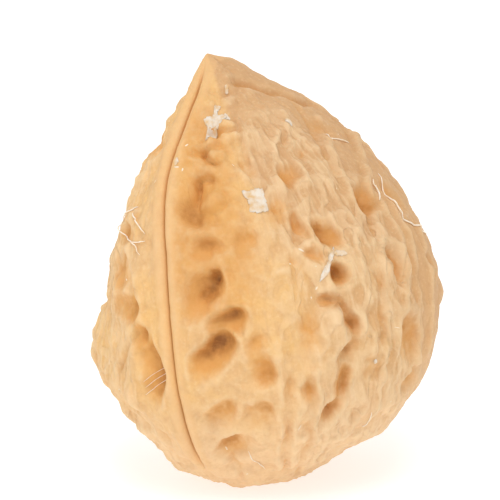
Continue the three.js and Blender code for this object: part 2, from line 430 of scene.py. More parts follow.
# The second group, down the middle of the right half, and the shallow ones beyond it.
CHEEK_HOLLOWS = (
    Hollow(61, 30.9, 2.0, 2.6, 0.6, 10, 0.3, 200),
    Hollow(57, 27.1, 1.2, 2.7, 0.5, -10, 0.2, 0),
    Hollow(65.2, 25.8, 2.2, 3.1, 1.05, -5, 0.15, -90),
    Hollow(57.4, 24.1, 1.3, 1.9, 0.55),
    Hollow(62.8, 22.2, 2.0, 2.3, 1.35, 0, 0.35, -60),
    Hollow(56, 20.1, 1.6, 1.3, 0.5, 40, 0.3, 60),
    Hollow(55.4, 17.4, 3.2, 5.4, -0.8, 5, 0.5, 70),
    Hollow(49.5, 18, 1.9, 4.0, 0.3),
    Hollow(64.2, 17.3, 1.5, 2.1, 0.5, -10, 0.2, 60),
    Hollow(57.8, 12.3, 1.8, 3.8, 0.85, 0, 0.3, 90),
    Hollow(53.4, 9.7, 1.5, 3.1, 0.65, 35, 0.3, 60),
    Hollow(46.8, 12.3, 1.5, 3.3, 0.5, 5, 0.3, 0),
    Hollow(73, 19.5, 2.4, 2.6, -0.25),
    Hollow(68, 13, 3.6, 3.0, 0.3),
    Hollow(90.4, 27.0, 3.0, 3.4, 0.8, 0, 0.35, 200),
    Hollow(85.2, 21.2, 2.1, 4.0, 1.1, -5, 0.5, -80),
    Hollow(106.4, 19.4, 1.7, 3.0, 0.75, 0, 0.35, -90),
    Hollow(86, 14.3, 3.2, 4.8, 0.65, 0, 0.35, -30),
    Hollow(89.4, 9.8, 2.7, 3.2, 0.6, 0, 0.3, -30),
    Hollow(109, 26.0, 2.8, 3.8, 0.55, 0, 0.3, -60),
    Hollow(104, 12.6, 2.2, 3.4, 0.5),
    Hollow(117, 15.8, 3.2, 2.4, -0.35),
    Hollow(76, 32.5, 2.4, 2.2, 0.2),
    Hollow(108, 33.2, 2.2, 3.0, 0.4),
    Hollow(90, 5.0, 9.0, 5.0, -0.65),
)

# The left half, from the front seam round its side.
LEFT_HOLLOWS = (
    Hollow(-7.6, 19.2, 1.9, 1.9, 0.65, 0, 0.4, 60),
    Hollow(-3.6, 16.0, 2.4, 6.2, 0.95, 0, 0.65, 90),
    Hollow(-20.4, 24.3, 3.4, 3.6, 0.5),
    Hollow(-16, 21.2, 5.0, 2.4, 0.6, 0, 0.45, 90),
    Hollow(-30, 34.8, 5.0, 3.0, 0.4),
    Hollow(-52, 17.2, 7.4, 6.2, -0.6),
    Hollow(-56, 20.9, 4.2, 2.6, 0.3),
    Hollow(-20, 27.8, 3.0, 2.2, 0.5, 0, 0.3, 0),
    Hollow(-33, 25.4, 3.0, 3.0, -0.35),
    Hollow(-38, 12.5, 3.0, 3.2, 0.45),
    Hollow(-24, 7.5, 3.2, 2.6, 0.45),
    Hollow(-14, 13.6, 3.2, 2.2, -0.3),
)

CREASES = (
    Crease(0.85, 0.7, ((54.8, 20.0), (57, 20.5), (59, 20.2), (61, 19.4), (63, 18.2), (63.8, 17.0),
                       (62, 16.0), (59.4, 15.0), (58.2, 13.6))),
    Crease(0.6, -0.35, ((57.2, 19.2), (59, 18.5), (60, 17.4), (59, 16.4), (55.2, 15.3), (51.2, 14.2),
                        (48.4, 13.6))),
    Crease(0.9, 0.5, ((57.6, 11.2), (55, 10.4), (52.6, 8.6))),
    Crease(0.6, 0.45, ((16.4, 6.4), (14.6, 5.2), (11.6, 3.8))),
    Crease(0.65, 0.75, ((16.8, 30.2), (16.6, 31.1), (17.8, 31.8), (20.8, 32.1), (25, 31.8), (29.4, 31.3))),
    Crease(0.6, 0.65, ((25.4, 34.7), (24.4, 34.1), (25, 33.6), (26.6, 33.2), (28.8, 33.0))),
    Crease(0.4, 0.3, ((41.6, 33.4), (43.2, 32.6), (44.6, 31.9), (45, 31.0))),
    Crease(0.6, 0.25, ((41, 34.6), (45, 33.8), (47.2, 31.6), (46, 30.0))),
    Crease(0.9, 0.6, ((60, 38.9), (80, 38.8), (94, 38.5), (104, 38.0), (112, 37.3), (121.6, 36.5),
                      (127.2, 35.6), (140, 34.4))),
    Crease(0.6, 0.45, ((113, 35.6), (102, 33.6), (93, 32.6), (87, 31.3), (86, 30))),
    Crease(0.6, 0.3, ((140, 33), (128, 31.8), (113, 30.4), (98, 28.4))),
    Crease(0.8, -0.6, ((143, 32), (126, 31.1), (112, 29.7), (97, 27.7), (88, 24.9), (83, 22.8),
                       (76.5, 18.8), (75, 16.1), (74, 14.2), (72.4, 10.4), (70.8, 8.2))),
    Crease(0.7, 0.4, ((94, 28), (85, 24.8), (80, 22.2), (74.6, 18.6), (73, 15.5), (72.2, 13), (70.6, 10))),
    Crease(0.75, -0.5, ((98, 26.6), (92.5, 23.6), (90.5, 21.6), (87.6, 19.4), (84, 17.8))),
    Crease(0.75, -0.5, ((104, 26.2), (100, 24.1), (96, 21.6), (94, 18.9), (90.6, 15.6), (90.4, 12.6),
                        (91.6, 9.4))),
    Crease(0.75, -0.45, ((112, 23), (106, 20.8), (101, 17.5), (98.6, 14.2), (98, 11))),
    Crease(0.7, 0.4, ((95.5, 22.4), (93.4, 19.6), (91.4, 17.2), (89.8, 15.2), (89.4, 12.4))),
    Crease(0.65, 0.4, ((78.5, 20.4), (77, 17.6), (76, 14.6), (74.6, 11.8), (73, 9))),
    Crease(0.65, -0.4, ((80, 30.5), (77, 28), (76.4, 25.6), (72, 22.6), (69.6, 20), (69.2, 17.4),
                        (68.4, 14))),
    Crease(0.65, -0.35, ((92, 35.6), (80, 34.4), (71, 32.6), (66.5, 30.2), (66, 28.4))),
    Crease(0.65, -0.35, ((75, 35.8), (66, 34.2), (58, 32.2), (54, 30), (52, 27.4))),
    Crease(0.65, -0.35, ((120, 34.6), (106, 33.0), (95, 31.6), (88, 29.8), (84.5, 27.8))),
    Crease(0.45, -0.35, ((66, 10.6), (64.4, 8.2), (61.6, 5.8), (57, 3.6))),
    Crease(0.45, -0.3, ((50.6, 14.8), (50.2, 11.6), (49, 8.6), (47.4, 5.6))),
    Crease(0.7, 0.25, ((60, 29.5), (56, 27.5), (53.4, 25.6), (50, 23.8), (48, 21))),
    Crease(0.8, -0.5, ((39.2, 16.6), (38.8, 13.5), (36.4, 10.4), (35.6, 7.0), (32.4, 3.9))),
    Crease(0.6, 0.5, ((41.6, 14.2), (39.4, 11.2), (37.6, 7.6), (33.6, 3.5))),
    Crease(0.7, -0.4, ((44.4, 13.0), (41.6, 9.8), (40.2, 6.6), (39.6, 3.9))),
    Crease(0.5, 0.35, ((18.4, 7.0), (15.4, 5.6), (11.6, 4.2))),
    Crease(0.6, 0.35, ((46, 9.5), (45, 7), (43.5, 4.5), (40, 2.4))),
    Crease(0.6, 0.4, ((-14, 18.4), (-21, 15.4), (-24.4, 12.4), (-22, 9.4))),
    Crease(0.6, 0.45, ((-31.6, 14.8), (-35.6, 11.9), (-30, 9.8), (-20, 8))),
    Crease(0.5, 0.35, ((-12, 11.2), (-8, 8.7), (-8, 6.4))),
    Crease(0.7, -0.4, ((-8, 26.4), (-7.6, 22.8), (-6.4, 20.2), (-10.6, 17.6), (-14, 14.6), (-13, 11.5))),
    Crease(0.5, 0.3, ((-13, 25), (-11, 22.6), (-10.4, 20.4))),
)


@dataclass(frozen=True)
class BackScatter:
    """Hollows and veins of the back, spread evenly by multiples of irrational steps."""

    hollows: int = 74
    veins: int = 16
    turns: tuple[float, float] = (124.0, 306.0)
    heights: tuple[float, float] = (4.0, 36.5)
    widths: tuple[float, float] = (1.3, 2.9)
    depths: tuple[float, float] = (0.3, 0.95)
    # The most that a hollow is longer than wide, leans to either side, and has its deepest point pulled away.
    stretch: float = 0.9
    lean: float = 60.0
    pull: float = 0.55
    toward: float = 45.0
    steps: tuple[float, ...] = (0.7549, 0.5698, 0.618, 0.4142, 0.2361)
    seam_clearance: float = 9.0
    vein_places: int = 7
    vein_sway: float = 5.0
    vein_lows: tuple[float, float] = (4.0, 16.0)
    vein_highs: tuple[float, float] = (24.0, 36.0)
    vein_widths: tuple[float, float] = (0.6, 0.9)
    vein_height: float = 0.35
    groove_depth: float = 0.3

    def shares(self, number: int) -> list[float]:
        """Gives the five shares, each from 0 to 1, of one feature."""
        return [math.fmod(number * step, 1.0) for step in self.steps]

    def make_hollows(self) -> list[Hollow]:
        """Makes the hollows, which keep clear of the back seam."""
        made = []
        for number in range(1, self.hollows + 1):
            a, b, c, d, e = self.shares(number)
            turn, height = between(self.turns, a), between(self.heights, b)
            width, depth = between(self.widths, c), between(self.depths, c * d)
            length = width * (1 + self.stretch * d)
            lean, toward = 2 * self.lean * e - self.lean, 2 * self.toward * d - self.toward
            if abs(turn - 180) > self.seam_clearance:
                made.append(Hollow(turn, height, width, length, depth, lean, self.pull * e, toward))
        return made

    def make_veins(self) -> list[Crease]:
        """Makes the veins and grooves that run from base to tip, bending as they go."""
        made = []
        for number in range(1, self.veins + 1):
            a, b, c, d, e = self.shares(number + self.hollows)
            turn = between(self.turns, (number - 0.5) / self.veins)
            heights = np.linspace(between(self.vein_lows, b), between(self.vein_highs, c), self.vein_places)
            bends = self.vein_sway * np.sin(np.linspace(0, 5 * d + 2, self.vein_places) + 6 * a)
            places = tuple((float(turn + bend), float(height)) for bend, height in zip(bends, heights))
            if abs(turn - 180) > self.seam_clearance:
                depth = self.groove_depth if number % 2 else -self.vein_height
                made.append(Crease(between(self.vein_widths, e), depth, places))
        return made


@dataclass
class ReliefMeasures:
    """What the relief comes to at each corner of the shell.

    lift is the height in mm along the outward direction. groove is 1 in a seam's groove, and lip is 1 on its
    lips. pit is how far a corner lies down inside hollows, in mm, and stain is 1 inside a deep one. crown is
    the depth again, but only under a hollow's steep wall, and the material paints shade there with it.
    """

    lift: Array
    groove: Array
    lip: Array
    pit: Array
    stain: Array
    crown: Array


@dataclass
class ShellRelief:
    """Everything that stands off the plain nut, added up as one height along its outward direction."""

    form: NutForm
    seams: tuple[Seam, ...] = (FRONT_SEAM, BACK_SEAM)
    hollows: tuple[Hollow, ...] = SEAM_HOLLOWS + CHEEK_HOLLOWS + LEFT_HOLLOWS
    creases: tuple[Crease, ...] = CREASES
    back: BackScatter = BackScatter()
    # Heights between which the seams set in above the base, and how far below the tip all relief ends.
    seam_start: float = 3.0
    seam_full: float = 8.0
    tip_fade: float = 3.2
    # A hollow's bowl reaches past its rim, which stands up by a share of the depth at its own ring.
    bowl_reach: float = 1.2
    bowl_power: float = 1.6
    steep_power: float = 0.8
    rim_share: float = 0.17
    rim_ring: float = 1.3
    rim_spread: float = 0.25
    full_stain_mm: float = 0.7
    # How much of a hollow and of a crease a seam's lip covers.
    hollow_cover: float = 0.75
    crease_cover: float = 0.8
    # How strongly a groove paints shade along its line, through the crown.
    crease_shade: float = 0.9
    warp_size: float = 2.6
    warp_reach: float = 0.34
    waves: int = 18
    seed: int = 5

    def warp(self, points: Array) -> Array:
        """Shifts places a little in smooth random waves, so that no rim is a perfect oval."""
        chance = np.random.default_rng(self.seed)
        shift = np.zeros_like(points)
        for _ in range(self.waves):
            way = unit(chance.normal(size=(1, 3)))[0]
            way = way * 2 * np.pi / (self.warp_size * chance.uniform(0.7, 2.2))
            push = chance.normal(size=3)
            shift += np.sin(points @ way + chance.uniform(0, 2 * np.pi))[:, None] * push
        return points + self.warp_reach * shift / math.sqrt(self.waves / 2) / math.sqrt(3)

    def measure(self, rise: Array, turn: Array, points: Array) -> ReliefMeasures:
        """Adds up the relief.

        Args:
            rise: each corner's angle from the base pole.
            turn: each corner's turn in degrees.
            points: the same corners on the plain nut.

        Returns:
            The measures at each corner.
        """
        made = ReliefMeasures(*(np.zeros(len(points)) for _ in range(6)))
        height = self.form.height_at(rise)
        warped = self.warp(points)
        fade = smoothstep(height, self.seam_start, self.seam_full)
        for seam in self.seams:
            lift, cut, lips = seam.section(seam.across(self.form, rise, turn, points))
            made.lift += fade * lift
            made.groove = np.maximum(made.groove, fade * cut)
            made.lip = np.maximum(made.lip, fade * lips)
        for hollow in (*self.hollows, *self.back.make_hollows()):
            self.add_hollow(made, hollow, warped)
        for crease in (*self.creases, *self.back.make_veins()):
            self.add_crease(made, crease, warped)
        tip = smoothstep(self.form.length - height, 0, self.tip_fade)
        for values in (made.lift, made.groove, made.pit, made.stain, made.crown):
            values *= tip
        return made

    def add_hollow(self, made: ReliefMeasures, hollow: Hollow, points: Array) -> None:
        """Presses one hollow into the shell.

        Args:
            made: the measures so far.
            hollow: the hollow.
            points: the corners' warped places in the nut's own frame.
        """
        ring, steep = hollow.ring(self.form, points)
        power = self.bowl_power - self.steep_power * hollow.pull * smoothstep(steep, 0, 0.8)
        bowl = (1 - np.minimum(ring / self.bowl_reach, 1) ** 2) ** power
        rim = self.rim_share * np.exp(-((ring - self.rim_ring) / self.rim_spread) ** 2)
        depth = hollow.depth * (1 - self.hollow_cover * made.lip)
        made.lift -= depth * (bowl - rim)
        made.pit += np.maximum(depth, 0) * bowl
        made.stain = np.maximum(made.stain, np.clip(depth / self.full_stain_mm, 0, 1) * bowl ** 0.5)
        # The crown is painted shade: it fades in just inside the rim, and lies on the steep wall's side of
        # the bowl.
        shaded = smoothstep(ring, 1.15, 0.8) * (0.35 + 0.65 * bowl) * smoothstep(steep, -0.75, 0.6)
        made.crown = np.maximum(made.crown, depth * shaded)

    def add_crease(self, made: ReliefMeasures, crease: Crease, points: Array) -> None:
        """Cuts one crease into the shell, or raises one vein."""
        line = crease.profile(self.form, points) * (1 - self.crease_cover * made.lip)
        made.lift -= crease.depth * line
        made.pit += max(crease.depth, 0) * line
        # A groove also paints shade along its line, through the crown.
        made.crown = np.maximum(made.crown, self.crease_shade * crease.depth * line)


# ---------------------------------------------------------------- finishes


class Tint(Enum):
    """The shell's colours, in sRGB."""

    WARM = "#E8BA7A"
    TAN = "#E3B882"
    MAUVE = "#CA9D71"
    PALE = "#F1D3A8"
    FOOT = "#EBC79C"
    LIP = "#E7B981"
    ORANGE = "#D9994C"
    BROWN = "#B4783C"
    # Painted shade under the hollows' steep walls.
    DARK = "#7C4B28"
    SEAM_LINE = "#B5722F"


@dataclass(frozen=True)
class Pattern:
    """Noise with patches of a real size, on the object's place or on its lay, which runs from base to tip."""

    name: str
    size_mm: float
    detail: float
    on_lay: bool = False


@dataclass(frozen=True)
class Coat:
    """A colour laid over the ones before it, as strongly as a pattern or a measure of the shell says.

    The share rises from 0 where the source is at low to its full value at high. A low above its high turns
    that round. If only names a measure, that one scales the share.
    """

    tint: Tint
    source: str
    low: float
    high: float
    share: float = 1.0
    only: str = ""


def new_material(name: str) -> bpy.types.Material:
    """Makes a material with an empty node tree."""
    material = bpy.data.materials.new(name)
    material.use_nodes = True
    material.node_tree.nodes.clear()
    return material


@dataclass(frozen=True)
class ShellFinish:
    """Dry walnut shell: bare wood-like skin, matt, tan, stained orange brown where it dips, with painted
    shade
    there too: darker the deeper it dips, and darkest under the hollows' steep walls.
    """

    name: str = "dry walnut shell"
    # Real grain and fibres are about 0.05 mm wide. Here both are drawn coarse enough to show.
    patterns: tuple[Pattern, ...] = (
        Pattern("patches", 6.0, 3.0),
        Pattern("flecks", 1.1, 4.0),
        Pattern("edge", 0.7, 3.0),
        Pattern("speckle", 0.3, 2.0),
        Pattern("grain", 0.16, 2.0),
        Pattern("fibres", 0.42, 3.0, on_lay=True),
    )
    measures: tuple[str, ...] = ("veil", "foot", "lip", "crest", "groove", "fibrous", "stain", "dip", "crown")
    ragged: tuple[str, ...] = ("stain", "dip", "crown")
    coats: tuple[Coat, ...] = (
        Coat(Tint.TAN, "patches", 0.35, 0.65),
        Coat(Tint.MAUVE, "veil", 0.0, 1.0, 0.75),
        Coat(Tint.FOOT, "foot", 0.0, 1.0, 0.75),
        Coat(Tint.MAUVE, "flecks", 0.4, 0.8, 0.45),
        Coat(Tint.PALE, "streaks", 0.42, 0.75, 0.4),
        Coat(Tint.MAUVE, "fibres", 0.47, 0.28, 0.4, only="fibrous"),
        Coat(Tint.PALE, "speckle", 0.52, 0.78, 0.26),
        Coat(Tint.BROWN, "speckle", 0.48, 0.2, 0.15),
        Coat(Tint.PALE, "ridges", 0.2, 1.0, 0.3),
        Coat(Tint.LIP, "lip", 0.2, 0.9, 0.5),
        Coat(Tint.PALE, "crest", 0.0, 1.0, 0.35),
        Coat(Tint.ORANGE, "stain", 0.02, 0.6, 0.65),
        # The dip coats are partly the stain of deep places and partly painted shade, darker the deeper they
        # lie; the crown coats are painted shade under the hollows' steep walls.
        Coat(Tint.ORANGE, "dip", 0.15, 0.8, 0.3),
        Coat(Tint.BROWN, "crown", 0.15, 1.0, 0.78),
        Coat(Tint.BROWN, "dip", 1.0, 2.0, 0.5),
        Coat(Tint.DARK, "crown", 0.8, 1.6, 0.7),
        Coat(Tint.SEAM_LINE, "groove", 0.3, 1.0, 0.8),
    )
    roughness: float = 0.66
    ridge_mm: float = 2.3
    ridge_squash: float = 0.55
    ridge_bump_mm: float = 0.09
    bump_mm: float = 0.05
    glow_depth_mm: float = 0.6

    def build(self) -> bpy.types.Material:
        """Builds the material from the shell's own measures and patterns."""
        material = new_material(self.name)
        tree = material.node_tree
        sources = self.read_sources(tree)
        dull = add_node(tree, "ShaderNodeMapRange", {
            "Value": sources["flecks"], "To Min": self.roughness - 0.08, "To Max": self.roughness + 0.1})
        fine = add_node(tree, "ShaderNodeMath", {0: sources["grain"], 1: sources["fibres"]}, operation="ADD")
        coarse = add_node(tree, "ShaderNodeBump", {
            "Height": sources["ridges"], "Distance": self.ridge_bump_mm * MM})
        bump = add_node(tree, "ShaderNodeBump", {
            "Height": fine.outputs["Value"], "Distance": self.bump_mm * MM, "Strength": 0.6,
            "Normal": coarse.outputs["Normal"]})
        shader = add_node(tree, "ShaderNodeBsdfPrincipled", {
            "Base Color": self.lay_coats(tree, sources), "Roughness": dull.outputs["Result"],
            "Normal": bump.outputs["Normal"], "Specular IOR Level": 0.25, "Subsurface Weight": 0.06,
            "Subsurface Scale": self.glow_depth_mm * MM, "Subsurface Radius": (1.0, 0.5, 0.25)})
        add_node(tree, "ShaderNodeOutputMaterial", {"Surface": shader.outputs["BSDF"]})
        return material

    def read_sources(self, tree: bpy.types.NodeTree) -> dict[str, bpy.types.NodeSocket]:
        """Adds the nodes for every measure and pattern.

        Args:
            tree: the material's tree.

        Returns:
            Name to the socket that gives it.
        """
        lay = add_node(tree, "ShaderNodeAttribute", attribute_name="lay").outputs["Vector"]
        place = add_node(tree, "ShaderNodeTexCoord").outputs["Object"]
        sources = {name: add_node(tree, "ShaderNodeAttribute", attribute_name=name).outputs["Fac"]
                   for name in self.measures}
        for pattern in self.patterns:
            # The lay is in millimetres, and the object's place is in metres.
            vector, size = (lay, pattern.size_mm) if pattern.on_lay else (place, pattern.size_mm * MM)
            sources[pattern.name] = add_node(tree, "ShaderNodeTexNoise", {
                "Vector": vector, "Scale": 1 / size, "Detail": pattern.detail}).outputs["Fac"]
        sources["streaks"] = add_node(tree, "ShaderNodeMath", {0: sources["fibres"], 1: sources["fibrous"]},
                                      operation="MULTIPLY").outputs["Value"]
        sources["ridges"] = self.add_ridges(tree, place, sources["fibrous"])
        uneven = add_node(tree, "ShaderNodeMapRange", {
            "Value": sources["edge"], "From Min": 0.3, "From Max": 0.7, "To Min": 0.7, "To Max": 1.3})
        for name in self.ragged:
            sources[name] = add_node(tree, "ShaderNodeMath", {0: sources[name], 1: uneven.outputs["Result"]},
                                     operation="MULTIPLY").outputs["Value"]
        return sources

    def add_ridges(self, tree: bpy.types.NodeTree, place: bpy.types.NodeSocket,
                   fibrous: bpy.types.NodeSocket) -> bpy.types.NodeSocket:
        """Adds the branching fine ridges of the fibrous places.

        Args:
            tree: the material's tree.
            place: the object coordinates.
            fibrous: how fibrous the shell is.

        Returns:
            1 on a ridge, falling to 0 beside it.
        """
        drawn = add_node(tree, "ShaderNodeVectorMath", {0: place, 1: (1.0, 1.0, self.ridge_squash)},
                         operation="MULTIPLY").outputs["Vector"]
        noise = add_node(tree, "ShaderNodeTexNoise", {
            "Vector": drawn, "Scale": 1 / (self.ridge_mm * MM), "Detail": 2.0, "Lacunarity": 2.1,
            "Offset": 0.95, "Gain": 1.6, "Distortion": 0.5}, noise_type="RIDGED_MULTIFRACTAL").outputs["Fac"]
        sharp = add_node(tree, "ShaderNodeMapRange", {"Value": noise, "From Min": 0.55, "From Max": 1.15},
                         interpolation_type="SMOOTHSTEP").outputs["Result"]
        return add_node(tree, "ShaderNodeMath", {0: sharp, 1: fibrous}, operation="MULTIPLY").outputs["Value"]

    def lay_coats(self, tree: bpy.types.NodeTree,
                  sources: dict[str, bpy.types.NodeSocket]) -> bpy.types.NodeSocket:
        """Lays the colours over each other.

        Args:
            tree: the material's tree.
            sources: name to the socket that gives a measure or a pattern.

        Returns:
            The finished colour.
        """
        colour = linear(Tint.WARM.value)
        for coat in self.coats:
            share = add_node(tree, "ShaderNodeMapRange", {
                "Value": sources[coat.source], "From Min": coat.low, "From Max": coat.high,
                "To Max": coat.share}, interpolation_type="SMOOTHSTEP").outputs["Result"]
            if coat.only:
                share = add_node(tree, "ShaderNodeMath", {0: share, 1: sources[coat.only]},
                                 operation="MULTIPLY").outputs["Value"]
            colour = add_node(tree, "ShaderNodeMix", {0: share, 6: colour, 7: linear(coat.tint.value)},
                              data_type="RGBA").outputs[2]
        return colour


@dataclass(frozen=True)
class PaperyFinish:
    """Dried husk and skin: thin pale plant tissue, matt and mottled in two shades."""

    name: str
    colour: str
    shade: str
    roughness: float = 0.6
    mottle_mm: float = 0.5
    bump_mm: float = 0.04

    def build(self) -> bpy.types.Material:
        """Builds the material on object coordinates."""
        material = new_material(self.name)
        tree = material.node_tree
        place = add_node(tree, "ShaderNodeTexCoord").outputs["Object"]
        mottle = add_node(tree, "ShaderNodeTexNoise", {
            "Vector": place, "Scale": 1 / (self.mottle_mm * MM), "Detail": 3.0}).outputs["Fac"]
        share = add_node(tree, "ShaderNodeMapRange", {"Value": mottle, "From Min": 0.4, "From Max": 0.7})
        colour = add_node(tree, "ShaderNodeMix", {
            0: share.outputs["Result"], 6: linear(self.colour), 7: linear(self.shade)}, data_type="RGBA")
        bump = add_node(tree, "ShaderNodeBump", {
            "Height": mottle, "Distance": self.bump_mm * MM, "Strength": 0.5})
        shader = add_node(tree, "ShaderNodeBsdfPrincipled", {
            "Base Color": colour.outputs[2], "Roughness": self.roughness, "Normal": bump.outputs["Normal"],
            "Specular IOR Level": 0.25})
        add_node(tree, "ShaderNodeOutputMaterial", {"Surface": shader.outputs["BSDF"]})
        return material


@dataclass(frozen=True)
class StudioFinish:
    """Matt white painted board, for the floor that curves up into the backdrop."""

    name: str = "matt white board"
    colour: str = "#C9C9C8"
    roughness: float = 0.9
    glow: float = 0.6

    def build(self) -> bpy.types.Material:
        """Builds a plain material with a little light of its own, which keeps the floor pale."""
        material = bpy.data.materials.new(self.name)
        material.use_nodes = True
        shader = material.node_tree.nodes["Principled BSDF"]
        shader.inputs["Base Color"].default_value = linear(self.colour)
        shader.inputs["Roughness"].default_value = self.roughness
        shader.inputs["Specular IOR Level"].default_value = 0.1
        shader.inputs["Emission Color"].default_value = (1, 1, 1, 1)
        shader.inputs["Emission Strength"].default_value = self.glow
        return material


# ---------------------------------------------------------------- the pieces


def put_in_scene(name: str, data: bpy.types.ID) -> bpy.types.Object:
    """Makes an object of a mesh, a light or a camera, at the origin, and puts it in the scene."""
    made = bpy.data.objects.new(name, data)
    bpy.context.scene.collection.objects.link(made)
    return made


def mesh_object(name: str, corners: Array, faces: list | Array) -> bpy.types.Object:
    """Makes a smoothly shaded mesh object at the origin and puts it in the scene.

    Args:
        name: the object's name.
        corners: places in metres.
        faces: corner numbers of each face.

    Returns:
        The new object.
    """
    mesh = bpy.data.meshes.new(name)
    mesh.from_pydata([tuple(c) for c in corners], [], [tuple(int(i) for i in face) for face in faces])
    mesh.polygons.foreach_set("use_smooth", [True] * len(mesh.polygons))
    mesh.update()
    return put_in_scene(name, mesh)


def put_attribute(mesh: bpy.types.Mesh, name: str, values: Array) -> None:
    """Stores a number or a vector for each corner of a mesh."""
    kind, key = ("FLOAT_VECTOR", "vector") if values.ndim == 2 else ("FLOAT", "value")
    mesh.attributes.new(name, kind, "POINT").data.foreach_set(key, values.astype(np.float32).ravel())


def corners_of(mesh: bpy.types.Mesh) -> Array:
    """Gives a mesh's corners, one row each."""
    flat = np.empty(len(mesh.vertices) * 3, np.float32)
    mesh.vertices.foreach_get("co", flat)
    return flat.reshape(-1, 3).astype(float)


def run_nodes(made: bpy.types.Object, tree: bpy.types.NodeTree, values: dict[str, object]) -> None:
    """Runs a Geometry Nodes tree once and keeps its result as the object's plain mesh.

    Args:
        made: the object whose mesh goes in and comes out.
        tree: the tree.
        values: input name to value.
    """
    modifier = made.modifiers.new(tree.name, "NODES")
    modifier.node_group = tree
    sockets = {item.name: item.identifier for item in tree.interface.items_tree if item.in_out == "INPUT"}
    for name, value in values.items():
        modifier[sockets[name]] = value
    graph = bpy.context.evaluated_depsgraph_get()
    result = bpy.data.meshes.new_from_object(made.evaluated_get(graph), preserve_all_data_layers=True,
                                             depsgraph=graph)
    made.modifiers.remove(modifier)
    made.data = result


def new_tree(name: str, inputs: dict[str, float | int]) -> bpy.types.NodeTree:
    """Makes an empty Geometry Nodes tree.

    Args:
        name: the tree's name.
        inputs: the name of each size or number to its default value.

    Returns:
        The tree, with a geometry input and output and a material input named Finish besides.
    """
    tree = bpy.data.node_groups.new(name, "GeometryNodeTree")
    tree.interface.new_socket("Geometry", in_out="OUTPUT", socket_type="NodeSocketGeometry")
    tree.interface.new_socket("Geometry", in_out="INPUT", socket_type="NodeSocketGeometry")
    for label, value in inputs.items():
        kind = "NodeSocketInt" if isinstance(value, int) else "NodeSocketFloat"
        tree.interface.new_socket(label, in_out="INPUT", socket_type=kind).default_value = value
    tree.interface.new_socket("Finish", in_out="INPUT", socket_type="NodeSocketMaterial")
    return tree


def close_tree(tree: bpy.types.NodeTree, geometry: bpy.types.NodeSocket,
               finish: bpy.types.NodeSocket) -> None:
    """Ends a tree: makes its instances real, sets their material and gives the result out.

    Args:
        tree: the tree.
        geometry: what it has made.
        finish: the material input.
    """
    real = add_node(tree, "GeometryNodeRealizeInstances", {"Geometry": geometry})
    dressed = add_node(tree, "GeometryNodeSetMaterial", {
        "Geometry": real.outputs["Geometry"], "Material": finish})
    add_node(tree, "NodeGroupOutput", {"Geometry": dressed.outputs["Geometry"]})


def ball_grid(cells: int) -> tuple[Array, Array]:
    """Draws a cube's grid onto a ball with nearly even cells.

    Args:
        cells: cells along each edge of the cube.

    Returns:
        The ball's directions and its square faces, facing out.
    """
    solid = bmesh.new()
    bmesh.ops.create_cube(solid, size=2)
    bmesh.ops.subdivide_edges(solid, edges=solid.edges[:], cuts=cells - 1, use_grid_fill=True)
    corners = np.array([corner.co[:] for corner in solid.verts])
    faces = np.array([[corner.index for corner in face.verts] for face in solid.faces])
    solid.free()
    return unit(np.tan(corners * np.pi / 4)), faces


@dataclass(frozen=True)
class Wrinkle:
    """One kind of fine wrinkle: its height and size, the coordinates it lies on and what scales it."""

    label: str
    height_mm: float
    size_mm: float
    lies_on: str
    scaled_by: str


